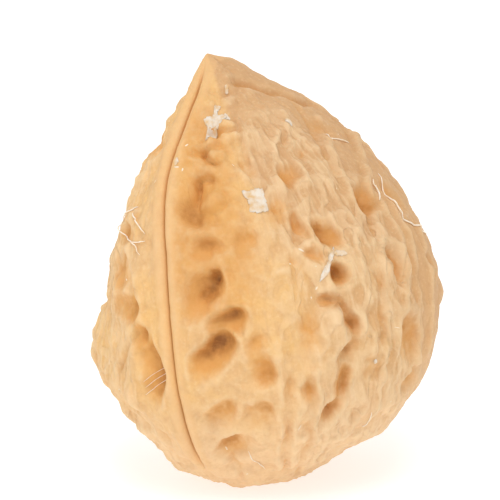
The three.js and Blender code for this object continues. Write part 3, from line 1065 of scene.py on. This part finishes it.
@dataclass
class WalnutShell:
    """The whole shell, in one piece: both half shells, their seam, the pits, veins and fine wrinkles.

    Its measures: calm is lower where wrinkles are weaker, and fibrous is high where the skin is drawn out in
    fine veins. The lay is a place on a straight tube of the shell's girth, squeezed along its length, so
    that what lies on it is drawn out from base to tip.
    """

    form: NutForm = NutForm()
    finish: ShellFinish = ShellFinish()
    cells: int = 126
    seam_crowding: float = 0.15
    wrinkles: tuple[Wrinkle, ...] = (
        Wrinkle("Lump", 0.42, 4.5, "body", "calm"),
        Wrinkle("Pucker", 0.26, 1.7, "body", "calm"),
        Wrinkle("Vein", 0.14, 0.9, "lay", "fibrous"),
    )
    # Noise keeps within about a quarter of its middle, so four times its offset is its full height.
    noise_gain: float = 4.0
    lay_girth: float = 15.0
    lay_squeeze: float = 0.16
    # Turns of the far side, of the dull right cheek and of the warm stain beside the front seam.
    far_side: Band = Band(80, 105, 150, 190)
    dull_side: Band = Band(40, 58, 190, 230)
    warm_turns: Band = Band(5, 12, 28, 48)
    warm_heights: Band = Band(17, 24, 35, 40)
    warm_stain: float = 0.45
    # Rounds of averaging that give the near and the wide surroundings of a corner, and soften the stain.
    near_rounds: int = 14
    wide_rounds: int = 160
    stain_rounds: int = 7
    full_crest_mm: float = 0.25
    shift: Array = field(default_factory=lambda: np.zeros(3))

    def wrinkle_tree(self) -> bpy.types.NodeTree:
        """Builds the tree that lays the wrinkles over the shell, each kind of its own size."""
        sizes = {}
        for wrinkle in self.wrinkles:
            sizes[f"{wrinkle.label} height"] = wrinkle.height_mm * MM
            sizes[f"{wrinkle.label} size"] = wrinkle.size_mm
        tree = new_tree("shell wrinkles", sizes)
        given = add_node(tree, "NodeGroupInput").outputs
        kinds = {"body": "FLOAT_VECTOR", "lay": "FLOAT_VECTOR", "out": "FLOAT_VECTOR", "calm": "FLOAT",
                 "fibrous": "FLOAT"}
        read = {name: add_node(tree, "GeometryNodeInputNamedAttribute", {"Name": name},
                               data_type=kind).outputs[0] for name, kind in kinds.items()}
        total = 0.0
        for wrinkle in self.wrinkles:
            scale = add_node(tree, "ShaderNodeMath", {0: 1.0, 1: given[f"{wrinkle.label} size"]},
                             operation="DIVIDE").outputs[0]
            noise = add_node(tree, "ShaderNodeTexNoise", {
                "Vector": read[wrinkle.lies_on], "Scale": scale, "Detail": 2.0, "Roughness": 0.5,
                "Distortion": 0.3}).outputs["Fac"]
            level = add_node(tree, "ShaderNodeMath", {0: noise, 1: 0.5}, operation="SUBTRACT").outputs[0]
            for factor in (given[f"{wrinkle.label} height"], read[wrinkle.scaled_by]):
                level = add_node(tree, "ShaderNodeMath", {0: level, 1: factor},
                                 operation="MULTIPLY").outputs[0]
            total = add_node(tree, "ShaderNodeMath", {0: total, 1: level}, operation="ADD").outputs[0]
        raised = add_node(tree, "ShaderNodeMath", {0: total, 1: self.noise_gain},
                          operation="MULTIPLY").outputs[0]
        offset = add_node(tree, "ShaderNodeVectorMath", {0: read["out"], "Scale": raised},
                          operation="SCALE").outputs["Vector"]
        moved = add_node(tree, "GeometryNodeSetPosition", {"Geometry": given["Geometry"], "Offset": offset})
        close_tree(tree, moved.outputs["Geometry"], given["Finish"])
        return tree

    def build(self) -> bpy.types.Object:
        """Builds the shell where the nut stands.

        Returns:
            The shell's object, with the measures that its material reads.
        """
        rise, turn, faces = self.grid()
        height = self.form.height_at(rise)
        body = self.form.point(rise, turn)
        out = self.form.directions(rise, turn)[2]
        relief = ShellRelief(self.form).measure(rise, turn, body)
        made = mesh_object("walnut_shell", (body + relief.lift[:, None] * out) * MM, faces)
        calm = self.calm(relief, turn)
        measures = {"body": body, "lay": self.lay(turn, height), "out": out, "calm": calm, "lip": relief.lip,
                    "groove": relief.groove, "fibrous": self.fibrous(calm, turn, height)}
        for name, values in measures.items():
            put_attribute(made.data, name, values)
        run_nodes(made, self.wrinkle_tree(), {"Finish": self.finish.build()})
        wrinkled = corners_of(made.data) / MM
        self.measure_dips(made.data, faces, np.sum((wrinkled - body) * out, -1), relief)
        stain = self.spread(faces, self.stain(relief, turn, height), self.stain_rounds)
        put_attribute(made.data, "stain", stain)
        put_attribute(made.data, "veil", self.veil(turn, height))
        put_attribute(made.data, "foot", smoothstep(height, 17, 4))
        self.stand(made.data, wrinkled)
        return made

    def grid(self) -> tuple[Array, Array, Array]:
        """Spreads the shell's corners over the nut, with its edges along the seams.

        Returns:
            Each corner's angle from the base pole, each one's turn in degrees, and the square faces.
        """
        ball, faces = ball_grid(self.cells)
        rise = np.arccos(np.clip(-ball[:, 2], -1, 1))
        ahead = np.arctan2(ball[:, 0], -ball[:, 1])
        ahead = np.degrees(ahead - self.seam_crowding * np.sin(2 * ahead))
        height = self.form.height_at(rise)
        seam = np.where(np.abs(ahead) < 90, FRONT_SEAM.turn_at(height), BACK_SEAM.turn_at(height) - 180)
        return rise, ahead + seam * np.cos(np.radians(ahead)) ** 2, faces

    def lay(self, turn: Array, height: Array) -> Array:
        """Gives each corner's place on the straight tube."""
        angle = np.radians(turn)
        return np.stack([self.lay_girth * np.sin(angle), -self.lay_girth * np.cos(angle),
                         height * self.lay_squeeze], -1)

    def calm(self, relief: ReliefMeasures, turn: Array) -> Array:
        """Gives 1 where wrinkles are full, and less on the lips, in deep pits and on the far side."""
        pits = smoothstep(relief.pit, 0.3, 1.0)
        return (1 - 0.75 * relief.lip) * (1 - 0.55 * pits) * (1 - 0.6 * self.far_side.share(turn))

    def fibrous(self, calm: Array, turn: Array, height: Array) -> Array:
        """Gives 1 where fine veins are full: away from the front seam, and not near the tip."""
        beside = np.where(np.mod(turn, 360) > 340, 0.5, 0.3 + 0.7 * smoothstep(turn, 30, 55)) * calm
        return np.where(turn < -12, calm, beside) * (1 - smoothstep(height, 34, 39.5))

    def stain(self, relief: ReliefMeasures, turn: Array, height: Array) -> Array:
        """Gives the stain: fainter in the hollows of the cheeks and the foot, and all over the warm band."""
        aside = smoothstep(turn, 45, 75) + smoothstep(-turn, 30, 60)
        faint = np.minimum(aside + smoothstep(height, 16, 9), 1)
        warm = self.warm_stain * self.warm_turns.share(turn) * self.warm_heights.share(height)
        return np.maximum(relief.stain * (1 - 0.5 * faint), warm)

    def veil(self, turn: Array, height: Array) -> Array:
        """Gives how dull the skin is: high on the right cheek, and down its side."""
        high = smoothstep(height, 22, 36) * smoothstep(turn, 32, 55)
        side = self.dull_side.share(turn) * (0.66 + 0.16 * smoothstep(turn, 72, 90))
        return np.clip(high + side, 0, 1)

    def measure_dips(self, mesh: bpy.types.Mesh, faces: Array, lift: Array, relief: ReliefMeasures) -> None:
        """Stores how far each corner dips below, or stands above, the shell around it.

        Args:
            mesh: the shell's mesh.
            faces: its square faces.
            lift: each corner's height over the plain nut in mm.
            relief: the measures of the relief.
        """
        near = self.spread(faces, lift, self.near_rounds)
        wide = self.spread(faces, lift, self.wide_rounds)
        # The dip is laid as colour: partly the stain of deep places, partly painted shade that darkens with
        # depth.
        dip = np.clip(0.55 * (wide - lift) + 0.9 * (near - lift) + 0.5 * relief.pit, 0, None)
        put_attribute(mesh, "dip", dip)
        # The crown is laid as painted shade under the hollows' steep walls.
        put_attribute(mesh, "crown", self.spread(faces, relief.crown, 1))
        put_attribute(mesh, "crest", np.clip((lift - near) / self.full_crest_mm, 0, 1))

    def spread(self, faces: Array, values: Array, rounds: int) -> Array:
        """Averages values with their neighbours' along the mesh's edges, over and over."""
        count = len(values)
        for _ in range(rounds):
            across = values[faces].mean(1)
            total = sum(np.bincount(faces[:, i], across, count) for i in range(4))
            values = total / np.bincount(faces.ravel(), minlength=count)
        return values

    def stand(self, mesh: bpy.types.Mesh, points: Array) -> None:
        """Leans the nut, presses its resting spot flat and puts it on the frame's origin.

        Args:
            mesh: the shell's mesh, which gets the new places.
            points: its corners in the nut's own frame, in mm.
        """
        leaning = self.form.lean(points)
        floor = leaning[:, 2].min() + self.form.spot_depth
        leaning[:, 2] = self.form.press_spot(leaning[:, 2] - floor)
        middle = (leaning.min(0) + leaning.max(0)) / 2
        self.shift = np.array([-middle[0], -middle[1], -floor])
        leaning[:, :2] -= middle[:2]
        mesh.vertices.foreach_set("co", (leaning * MM).astype(np.float32).ravel())
        mesh.update()


@dataclass
class ShellSurface:
    """Finds places on the finished shell from a turn and a height."""

    shell: WalnutShell
    piece: bpy.types.Object
    reach: float = 4.0
    tree: BVHTree = field(init=False)

    def __post_init__(self) -> None:
        """Sorts the shell's faces for searching."""
        mesh = self.piece.data
        self.tree = BVHTree.FromPolygons([corner.co[:] for corner in mesh.vertices],
                                         [face.vertices[:] for face in mesh.polygons])

    def at(self, turn: float, height: float, hover: float = 0.0) -> Vector:
        """Gives the place on the shell, in metres.

        Args:
            turn: degrees around the nut's axis.
            height: mm along the axis.
            hover: mm above the surface.

        Returns:
            The place.
        """
        form = self.shell.form
        rise, turns = form.rise_at([height]), np.array([turn])
        out = form.lean(form.directions(rise, turns)[2])[0]
        plain = form.lean(form.point(rise, turns))[0] + self.shell.shift
        start = Vector((plain + self.reach * out) * MM)
        hit = self.tree.ray_cast(start, Vector(-out))[0]
        found = hit if hit is not None else Vector(plain * MM)
        return found + Vector(out) * hover * MM


@dataclass(frozen=True)
class Thread:
    """One thread: its thickness against the others', its arch in mm, and its (turn, height) places."""

    weight: float
    arch: float
    places: tuple[tuple[float, float], ...]


@dataclass
class HuskFibres:
    """Threads of dried husk that cling to the shell, as fine as hairs, lifting off it here and there."""

    surface: ShellSurface
    finish: PaperyFinish = PaperyFinish("dried husk fibre", "#FAEEDC", "#F0DABA")
    thickness_mm: float = 0.15
    ripple_mm: float = 0.06
    ripple_size_mm: float = 1.3
    step_mm: float = 0.12
    sides: int = 6
    points: int = 40
    clearance_mm: float = 0.04
    # The ends taper to this share of the thickness.
    end_share: float = 0.35
    threads: tuple[Thread, ...] = (
        Thread(0.8, 0.30, ((-34, 28.2), (-25, 27.6), (-12.4, 27.2), (-6.4, 26.2))),
        Thread(0.8, 0.25, ((-14.4, 30.1), (-22, 29.3), (-30, 28.2))),
        Thread(0.9, 0.25, ((-16.8, 29.5), (-10.8, 28.9), (-5.6, 28.0))),
        Thread(0.8, 0.20, ((-12.4, 27.2), (-5.2, 27.4))),
        Thread(1.1, 0.20, ((103.2, 28.0), (100.4, 27.3), (96.4, 26.4))),
        Thread(1.15, 0.2, ((112.6, 28.0), (108.4, 26.8), (101, 25.2), (101.2, 24.3), (106.8, 23.2),
                           (113, 22.2), (121.2, 21.1))),
        Thread(0.9, 0.15, ((104.4, 32.8), (110, 31.9), (116, 31.2))),
        Thread(0.35, 0.15, ((-8.4, 14.3), (-3, 15.2), (1.2, 15.8))),
        Thread(0.35, 0.15, ((-8.8, 13.6), (-3, 14.6), (1.2, 15.2))),
        Thread(0.3, 0.12, ((-8, 14.9), (-3, 15.8), (1, 16.3))),
        Thread(0.6, 0.10, ((22.4, 6.9), (24.6, 5.6), (26.4, 4.4))),
        Thread(0.7, 0.15, ((69.2, 8.6), (69.6, 7.6), (69.4, 6.6))),
        Thread(0.9, 0.25, ((150, 30), (156, 27), (154, 24), (160, 21))),
        Thread(0.8, 0.25, ((210, 24), (218, 22), (221, 19), (229, 17.5))),
        Thread(0.9, 0.25, ((250, 30), (256, 28), (262, 27.5), (266, 25))),
        Thread(0.7, 0.20, ((196, 33), (203, 31.5), (208, 32))),
        Thread(0.7, 0.20, ((282, 12), (289, 11), (293, 8.6))),
    )

    def thread_tree(self) -> bpy.types.NodeTree:
        """Builds the tree that turns lines of edges into rippling threads with thin ends."""
        tree = new_tree("husk threads", {
            "Thickness": self.thickness_mm * MM, "Ripple": self.ripple_mm * MM,
            "Ripple size": self.ripple_size_mm * MM, "Step": self.step_mm * MM, "Sides": self.sides})
        given = add_node(tree, "NodeGroupInput").outputs
        weight = add_node(tree, "GeometryNodeInputNamedAttribute", {"Name": "weight"},
                          data_type="FLOAT").outputs[0]
        line = add_node(tree, "GeometryNodeMeshToCurve", {"Mesh": given["Geometry"]}).outputs["Curve"]
        even = add_node(tree, "GeometryNodeResampleCurve", {"Curve": line, "Length": given["Step"]},
                        mode="LENGTH")
        size = add_node(tree, "ShaderNodeMath", {0: 1.0, 1: given["Ripple size"]},
                        operation="DIVIDE").outputs[0]
        noise = add_node(tree, "ShaderNodeTexNoise", {"Scale": size, "Detail": 1.0}).outputs["Color"]
        sway = add_node(tree, "ShaderNodeVectorMath", {0: noise, 1: (0.5, 0.5, 0.5)},
                        operation="SUBTRACT").outputs[0]
        shift = add_node(tree, "ShaderNodeVectorMath", {0: sway, "Scale": given["Ripple"]},
                         operation="SCALE").outputs[0]
        bent = add_node(tree, "GeometryNodeSetPosition", {"Geometry": even.outputs["Curve"], "Offset": shift})
        along = add_node(tree, "GeometryNodeSplineParameter").outputs["Factor"]
        back = add_node(tree, "ShaderNodeMath", {0: 1.0, 1: along}, operation="SUBTRACT").outputs[0]
        ends = add_node(tree, "ShaderNodeMath", {0: along, 1: back}, operation="MULTIPLY").outputs[0]
        taper = add_node(tree, "ShaderNodeMapRange", {
            "Value": ends, "From Max": 0.12, "To Min": self.end_share}).outputs[0]
        scale = add_node(tree, "ShaderNodeMath", {0: taper, 1: weight}, operation="MULTIPLY").outputs[0]
        radius = add_node(tree, "ShaderNodeMath", {0: given["Thickness"], 1: 0.5},
                          operation="MULTIPLY").outputs[0]
        ring = add_node(tree, "GeometryNodeCurvePrimitiveCircle", {
            "Resolution": given["Sides"], "Radius": radius})
        tube = add_node(tree, "GeometryNodeCurveToMesh", {
            "Curve": bent.outputs["Geometry"], "Scale": scale, "Profile Curve": ring.outputs["Curve"],
            "Fill Caps": True})
        close_tree(tree, tube.outputs["Mesh"], given["Finish"])
        return tree

    def build(self) -> bpy.types.Object:
        """Builds all the threads as one piece, each closed at both ends."""
        corners, edges, weights = [], [], []
        for thread in self.threads:
            turns, heights = zip(*thread.places)
            steps = np.linspace(0, len(thread.places) - 1, self.points)
            first = len(corners)
            for number, step in enumerate(steps):
                part = number / (self.points - 1)
                wave = 0.6 + 0.4 * math.sin(9 * part + first)
                hover = self.clearance_mm + thread.arch * math.sin(math.pi * part) * wave
                turn, height = smooth_through(turns, step), smooth_through(heights, step)
                corners.append(self.surface.at(turn, height, hover))
                weights.append(thread.weight)
            edges += [(i, i + 1) for i in range(first, len(corners) - 1)]
        mesh = bpy.data.meshes.new("husk_fibres")
        mesh.from_pydata(corners, edges, [])
        put_attribute(mesh, "weight", np.array(weights))
        made = put_in_scene("husk_fibres", mesh)
        run_nodes(made, self.thread_tree(), {"Finish": self.finish.build()})
        made.data.polygons.foreach_set("use_smooth", [True] * len(made.data.polygons))
        return made


@dataclass(frozen=True)
class Flake:
    """One torn scrap of dried skin: its middle, its size in mm and its ragged outline.

    The outline is the distance from the middle at even steps of a full circle, as shares of the size,
    starting upwards and going towards larger turns.
    """

    turn: float
    height: float
    size: float
    outline: tuple[float, ...]


@dataclass
class SkinFlakes:
    """Papery scraps of the nut's dried outer skin, lying on the shell with slightly lifted edges."""

    surface: ShellSurface
    finish: PaperyFinish = PaperyFinish("dried papery skin", "#E6DACA", "#DCB888", 0.6, 0.7, 0.03)
    thickness_mm: float = 0.035
    clearance_mm: float = 0.015
    curl_mm: float = 0.03
    tear: float = 0.1
    rings: int = 7
    spokes: int = 48
    flakes: tuple[Flake, ...] = (
        Flake(30, 36.2, 1.0, (0.7, 1.3, 0.8, 0.75, 1.0, 1.35, 0.7, 0.65, 0.6, 0.5, 0.5, 0.55,
                              0.9, 1.25, 1.6, 0.8, 0.65, 0.8, 0.85, 0.95, 0.8, 0.55, 0.5, 0.55)),
        Flake(25, 35.0, 0.28, (1.0, 0.7, 1.2, 0.6, 0.9, 0.5, 1.1)),
        Flake(34.5, 37.2, 0.25, (0.8, 1.3, 0.6, 0.9, 1.1)),
        Flake(41, 36.4, 0.3, (1.4, 0.6, 0.8, 1.2, 0.5, 0.7, 1.0)),
        Flake(43.2, 29.6, 1.0, (1.0, 1.1, 1.3, 0.9, 0.82, 0.85, 1.2, 1.1,
                                1.0, 1.02, 1.1, 0.78, 0.7, 0.8, 1.5, 1.0)),
        Flake(61.2, 23.3, 0.9, (0.25, 0.35, 0.8, 2.0, 0.6, 0.3, 0.2, 0.18, 0.16, 0.16, 0.18, 0.2,
                                0.3, 0.6, 1.2, 2.1, 0.9, 0.4, 0.25, 0.2, 0.16, 0.16, 0.18, 0.2)),
        Flake(65.9, 23.8, 0.6, (0.5, 0.4, 0.6, 1.1, 0.6, 0.3, 0.3, 0.6, 1.0, 0.6)),
        Flake(6.8, 33.4, 0.28, (1.0, 0.6, 0.7, 0.5, 1.3, 0.6, 0.6, 0.8)),
        Flake(83.2, 34.7, 0.3, (1.0, 0.8, 0.9, 1.1, 0.8, 0.9)),
        Flake(54, 38.4, 0.25, (0.9, 1.3, 0.6, 0.5, 0.8, 0.9, 0.5, 0.6)),
        Flake(70, 13.4, 0.22, (1.0, 0.8, 0.9, 1.1, 0.8, 0.9)),
        Flake(160, 27, 1.3, (1.0, 0.6, 0.9, 0.7, 1.1, 0.8, 0.6, 0.9, 1.2, 0.7, 0.8, 1.0)),
        Flake(238, 15, 1.2, (0.8, 1.1, 0.9, 0.6, 0.7, 1.2, 0.9, 0.7, 0.9, 0.6, 1.0, 0.8)),
    )

    def build(self) -> bpy.types.Object:
        """Builds all the scraps as one piece of closed thin sheets."""
        corners, faces = [], []
        for flake in self.flakes:
            self.add_flake(flake, corners, faces)
        made = mesh_object("skin_flakes", np.array([c[:] for c in corners]), faces)
        made.data.materials.append(self.finish.build())
        return made

    def add_flake(self, flake: Flake, corners: list[Vector], faces: list[tuple[int, ...]]) -> None:
        """Adds one scrap: an upper and a lower sheet, joined around the torn edge.

        Args:
            flake: the scrap.
            corners: every scrap's corners so far, in metres.
            faces: every scrap's faces so far.
        """
        sheets = []
        for lift in (self.clearance_mm + self.thickness_mm, self.clearance_mm):
            sheets.append(len(corners))
            self.add_sheet(flake, lift, corners)
        for sheet, flip in zip(sheets, (True, False)):
            faces += [face[::-1] if flip else face for face in self.sheet_faces(sheet)]
        top, under = (sheet + 1 + (self.rings - 1) * self.spokes for sheet in sheets)
        for spoke in range(self.spokes):
            beside = (spoke + 1) % self.spokes
            faces.append((top + spoke, top + beside, under + beside, under + spoke))

    def add_sheet(self, flake: Flake, lift: float, corners: list[Vector]) -> None:
        """Adds one sheet's corners: the middle, then ring by ring out to the torn edge.

        Args:
            flake: the scrap.
            lift: the sheet's height over the shell in mm.
            corners: every scrap's corners so far, in metres.
        """
        form = self.surface.shell.form
        radius = float(form.radius(form.rise_at([flake.height]), np.array([flake.turn]))[0])
        degrees = math.degrees(1 / radius)
        corners.append(self.surface.at(flake.turn, flake.height, lift))
        for ring in range(1, self.rings + 1):
            share = ring / self.rings
            for spoke in range(self.spokes):
                reach = share * flake.size * self.edge_at(flake, spoke)
                angle = 2 * math.pi * spoke / self.spokes
                curl = self.curl_mm * share ** 4 * (0.6 + 0.4 * math.sin(3 * angle + flake.turn))
                corners.append(self.surface.at(flake.turn + reach * math.sin(angle) * degrees,
                                               flake.height + reach * math.cos(angle), lift + curl))

    def edge_at(self, flake: Flake, spoke: int) -> float:
        """Gives the outline's share of the size at a spoke, with a finely torn edge."""
        count = len(flake.outline)
        place = spoke / self.spokes * count
        here, beyond = flake.outline[int(place) % count], flake.outline[(int(place) + 1) % count]
        torn = self.tear * math.sin(spoke * 2.4 + flake.turn) * math.cos(spoke * 1.3)
        return here + (beyond - here) * (place - int(place)) + torn

    def sheet_faces(self, first: int) -> list[tuple[int, ...]]:
        """Gives one sheet's faces, seen from below."""
        start = first + 1
        made = [(first, start + (spoke + 1) % self.spokes, start + spoke) for spoke in range(self.spokes)]
        for inner in range(start, start + (self.rings - 1) * self.spokes, self.spokes):
            outer = inner + self.spokes
            for spoke in range(self.spokes):
                beside = (spoke + 1) % self.spokes
                made.append((inner + spoke, inner + beside, outer + beside, outer + spoke))
        return made


@dataclass
class SkinSpecks:
    """Specks of dried skin, finer than a millimetre, left all over the shell."""

    surface: ShellSurface
    finish: PaperyFinish = PaperyFinish("dried skin specks", "#F3E0C6", "#E8CDA4")
    per_square_metre: float = 15000.0
    length_mm: float = 0.5
    # A speck's length, width and thickness against each other, and the sizes between which chance picks.
    shape: tuple[float, float, float] = (1.0, 0.42, 0.5)
    smallest: tuple[float, float, float] = (0.35, 0.3, 0.2)
    largest: tuple[float, float, float] = (1.3, 0.9, 0.3)
    seed: int = 8

    def speck_tree(self) -> bpy.types.NodeTree:
        """Builds the tree that strews flat slivers over the shell, each turned and sized by chance."""
        tree = new_tree("skin specks", {
            "Number per square metre": self.per_square_metre, "Length": self.length_mm * MM,
            "Seed": self.seed})
        given = add_node(tree, "NodeGroupInput").outputs
        strewn = add_node(tree, "GeometryNodeDistributePointsOnFaces", {
            "Mesh": given["Geometry"], "Density": given["Number per square metre"],
            "Seed": given["Seed"]}).outputs
        spin = add_node(tree, "FunctionNodeRandomValue", {"Seed": given["Seed"], 3: 2 * math.pi}).outputs[1]
        about = add_node(tree, "FunctionNodeAxisAngleToRotation", {
            "Axis": (0, 0, 1), "Angle": spin}).outputs[0]
        turned = add_node(tree, "FunctionNodeRotateRotation", {
            "Rotation": strewn["Rotation"], "Rotate By": about}, rotation_space="LOCAL").outputs[0]
        size = add_node(tree, "FunctionNodeRandomValue", {
            0: self.smallest, 1: self.largest, "Seed": given["Seed"]}, data_type="FLOAT_VECTOR").outputs[0]
        half = add_node(tree, "ShaderNodeMath", {0: given["Length"], 1: 0.5}, operation="MULTIPLY").outputs[0]
        chip = add_node(tree, "GeometryNodeMeshIcoSphere", {
            "Radius": half, "Subdivisions": 2}).outputs["Mesh"]
        narrow = add_node(tree, "GeometryNodeTransform", {"Geometry": chip, "Scale": self.shape}).outputs[0]
        placed = add_node(tree, "GeometryNodeInstanceOnPoints", {
            "Points": strewn["Points"], "Instance": narrow, "Rotation": turned, "Scale": size}).outputs[0]
        close_tree(tree, placed, given["Finish"])
        return tree

    def build(self) -> bpy.types.Object:
        """Builds all the specks as one piece."""
        made = put_in_scene("skin_specks", self.surface.piece.data.copy())
        run_nodes(made, self.speck_tree(), {"Finish": self.finish.build()})
        return made


# ---------------------------------------------------------------- the studio


def direction(azimuth: float, elevation: float) -> Vector:
    """Gives the way from the nut to a place around it; azimuth 0 is in front (-Y), 90 is at +X."""
    turn, rise = math.radians(azimuth), math.radians(elevation)
    return Vector((math.sin(turn) * math.cos(rise), -math.cos(turn) * math.cos(rise), math.sin(rise)))


@dataclass(frozen=True)
class Lamp:
    """A soft box: a square area light, placed by azimuth and elevation around the nut, in degrees."""

    name: str
    azimuth: float
    elevation: float
    distance: float
    size: float
    watts: float


@dataclass
class Studio:
    """A pale floor that curves up all round, soft boxes above it, and the camera."""

    low: Vector
    high: Vector
    board: StudioFinish = StudioFinish()
    floor_radius: float = 1.1
    cove_radius: float = 0.25
    floor_turns: int = 96
    cove_steps: int = 12
    sky: float = 0.6
    azimuth: float = 31.0
    elevation: float = 13.0
    lens: float = 200.0
    sensor: float = 36.0
    distance: float = 0.2622
    aim_right_mm: float = -2.27
    aim_up_mm: float = 1.44
    lamps: tuple[Lamp, ...] = (
        Lamp("key soft box", 35, 62, 0.55, 0.28, 1.3),
        Lamp("fill soft box", -25, 30, 0.6, 0.45, 0.35),
        Lamp("back soft box", 205, 50, 0.6, 0.4, 0.4),
    )

    def build(self) -> None:
        """Builds the floor, the lamps, the even light all round and the camera."""
        self.build_floor()
        for lamp in self.lamps:
            self.build_lamp(lamp)
        world = bpy.data.worlds.new("even white light")
        world.use_nodes = True
        backing = world.node_tree.nodes["Background"]
        backing.inputs["Color"].default_value = (1, 1, 1, 1)
        backing.inputs["Strength"].default_value = self.sky
        bpy.context.scene.world = world
        bpy.context.scene.view_settings.view_transform = "Standard"
        self.build_camera()

    def build_floor(self) -> None:
        """Builds a round floor whose rim curves up, so that no edge shows behind the nut."""
        turns = self.floor_turns
        profile = [(0.02, 0.0), (0.2, 0.0), (self.floor_radius, 0.0)]
        for bend in np.linspace(0, math.pi / 2, self.cove_steps + 1)[1:]:
            profile.append((self.floor_radius + self.cove_radius * math.sin(bend),
                            self.cove_radius * (1 - math.cos(bend))))
        around = np.linspace(0, 2 * math.pi, turns, endpoint=False)
        corners = [(0.0, 0.0, 0.0)]
        for radius, height in profile:
            corners += [(radius * math.cos(angle), radius * math.sin(angle), height) for angle in around]
        faces = [(0, 1 + i, 1 + (i + 1) % turns) for i in range(turns)]
        for inner in range(1, 1 + (len(profile) - 1) * turns, turns):
            outer = inner + turns
            faces += [(inner + i, outer + i, outer + (i + 1) % turns, inner + (i + 1) % turns)
                      for i in range(turns)]
        floor = mesh_object("floor", np.array(corners), faces)
        floor.data.materials.append(self.board.build())
        floor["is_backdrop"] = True

    def build_lamp(self, lamp: Lamp) -> None:
        """Builds a soft box that faces the nut."""
        light = bpy.data.lights.new(lamp.name, "AREA")
        light.shape = "SQUARE"
        light.size = lamp.size
        light.energy = lamp.watts
        made = put_in_scene(lamp.name, light)
        middle = (self.low + self.high) / 2
        made.location = middle + direction(lamp.azimuth, lamp.elevation) * lamp.distance
        made.rotation_euler = (middle - made.location).to_track_quat("-Z", "Y").to_euler()

    def build_camera(self) -> None:
        """Builds the long-lens camera, aimed a little beside the nut's middle."""
        camera = bpy.data.cameras.new("camera")
        camera.lens = self.lens
        camera.sensor_width = self.sensor
        camera.clip_start = 0.01
        made = put_in_scene("camera", camera)
        turn = math.radians(self.azimuth)
        right = Vector((math.cos(turn), math.sin(turn), 0))
        back = direction(self.azimuth, self.elevation)
        up = back.cross(right)
        aim = (self.low + self.high) / 2 + right * self.aim_right_mm * MM + up * self.aim_up_mm * MM
        made.location = aim + back * self.distance
        made.rotation_euler = (-back).to_track_quat("-Z", "Y").to_euler()
        bpy.context.scene.camera = made


def hand_over(piece: bpy.types.Object, replaced: bool = False) -> None:
    """Tells the frame what a piece is, and logs it.

    Args:
        piece: the finished piece.
        replaced: whether it stands for the CAD node.
    """
    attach(piece, BODY)
    if replaced:
        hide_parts(NODE)
    LOG.info("%s: %d corners, %d faces", piece.name, len(piece.data.vertices), len(piece.data.polygons))


def main() -> None:
    logging.basicConfig(level=logging.INFO, format="%(name)s: %(message)s")
    cad_low, cad_high = (Vector(corner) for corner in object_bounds())
    shell = WalnutShell()
    shell_piece = shell.build()
    hand_over(shell_piece, replaced=True)
    surface = ShellSurface(shell, shell_piece)
    hand_over(HuskFibres(surface).build())
    hand_over(SkinFlakes(surface).build())
    hand_over(SkinSpecks(surface).build())
    Studio(cad_low, cad_high).build()


if __name__ == "__main__":
    main()
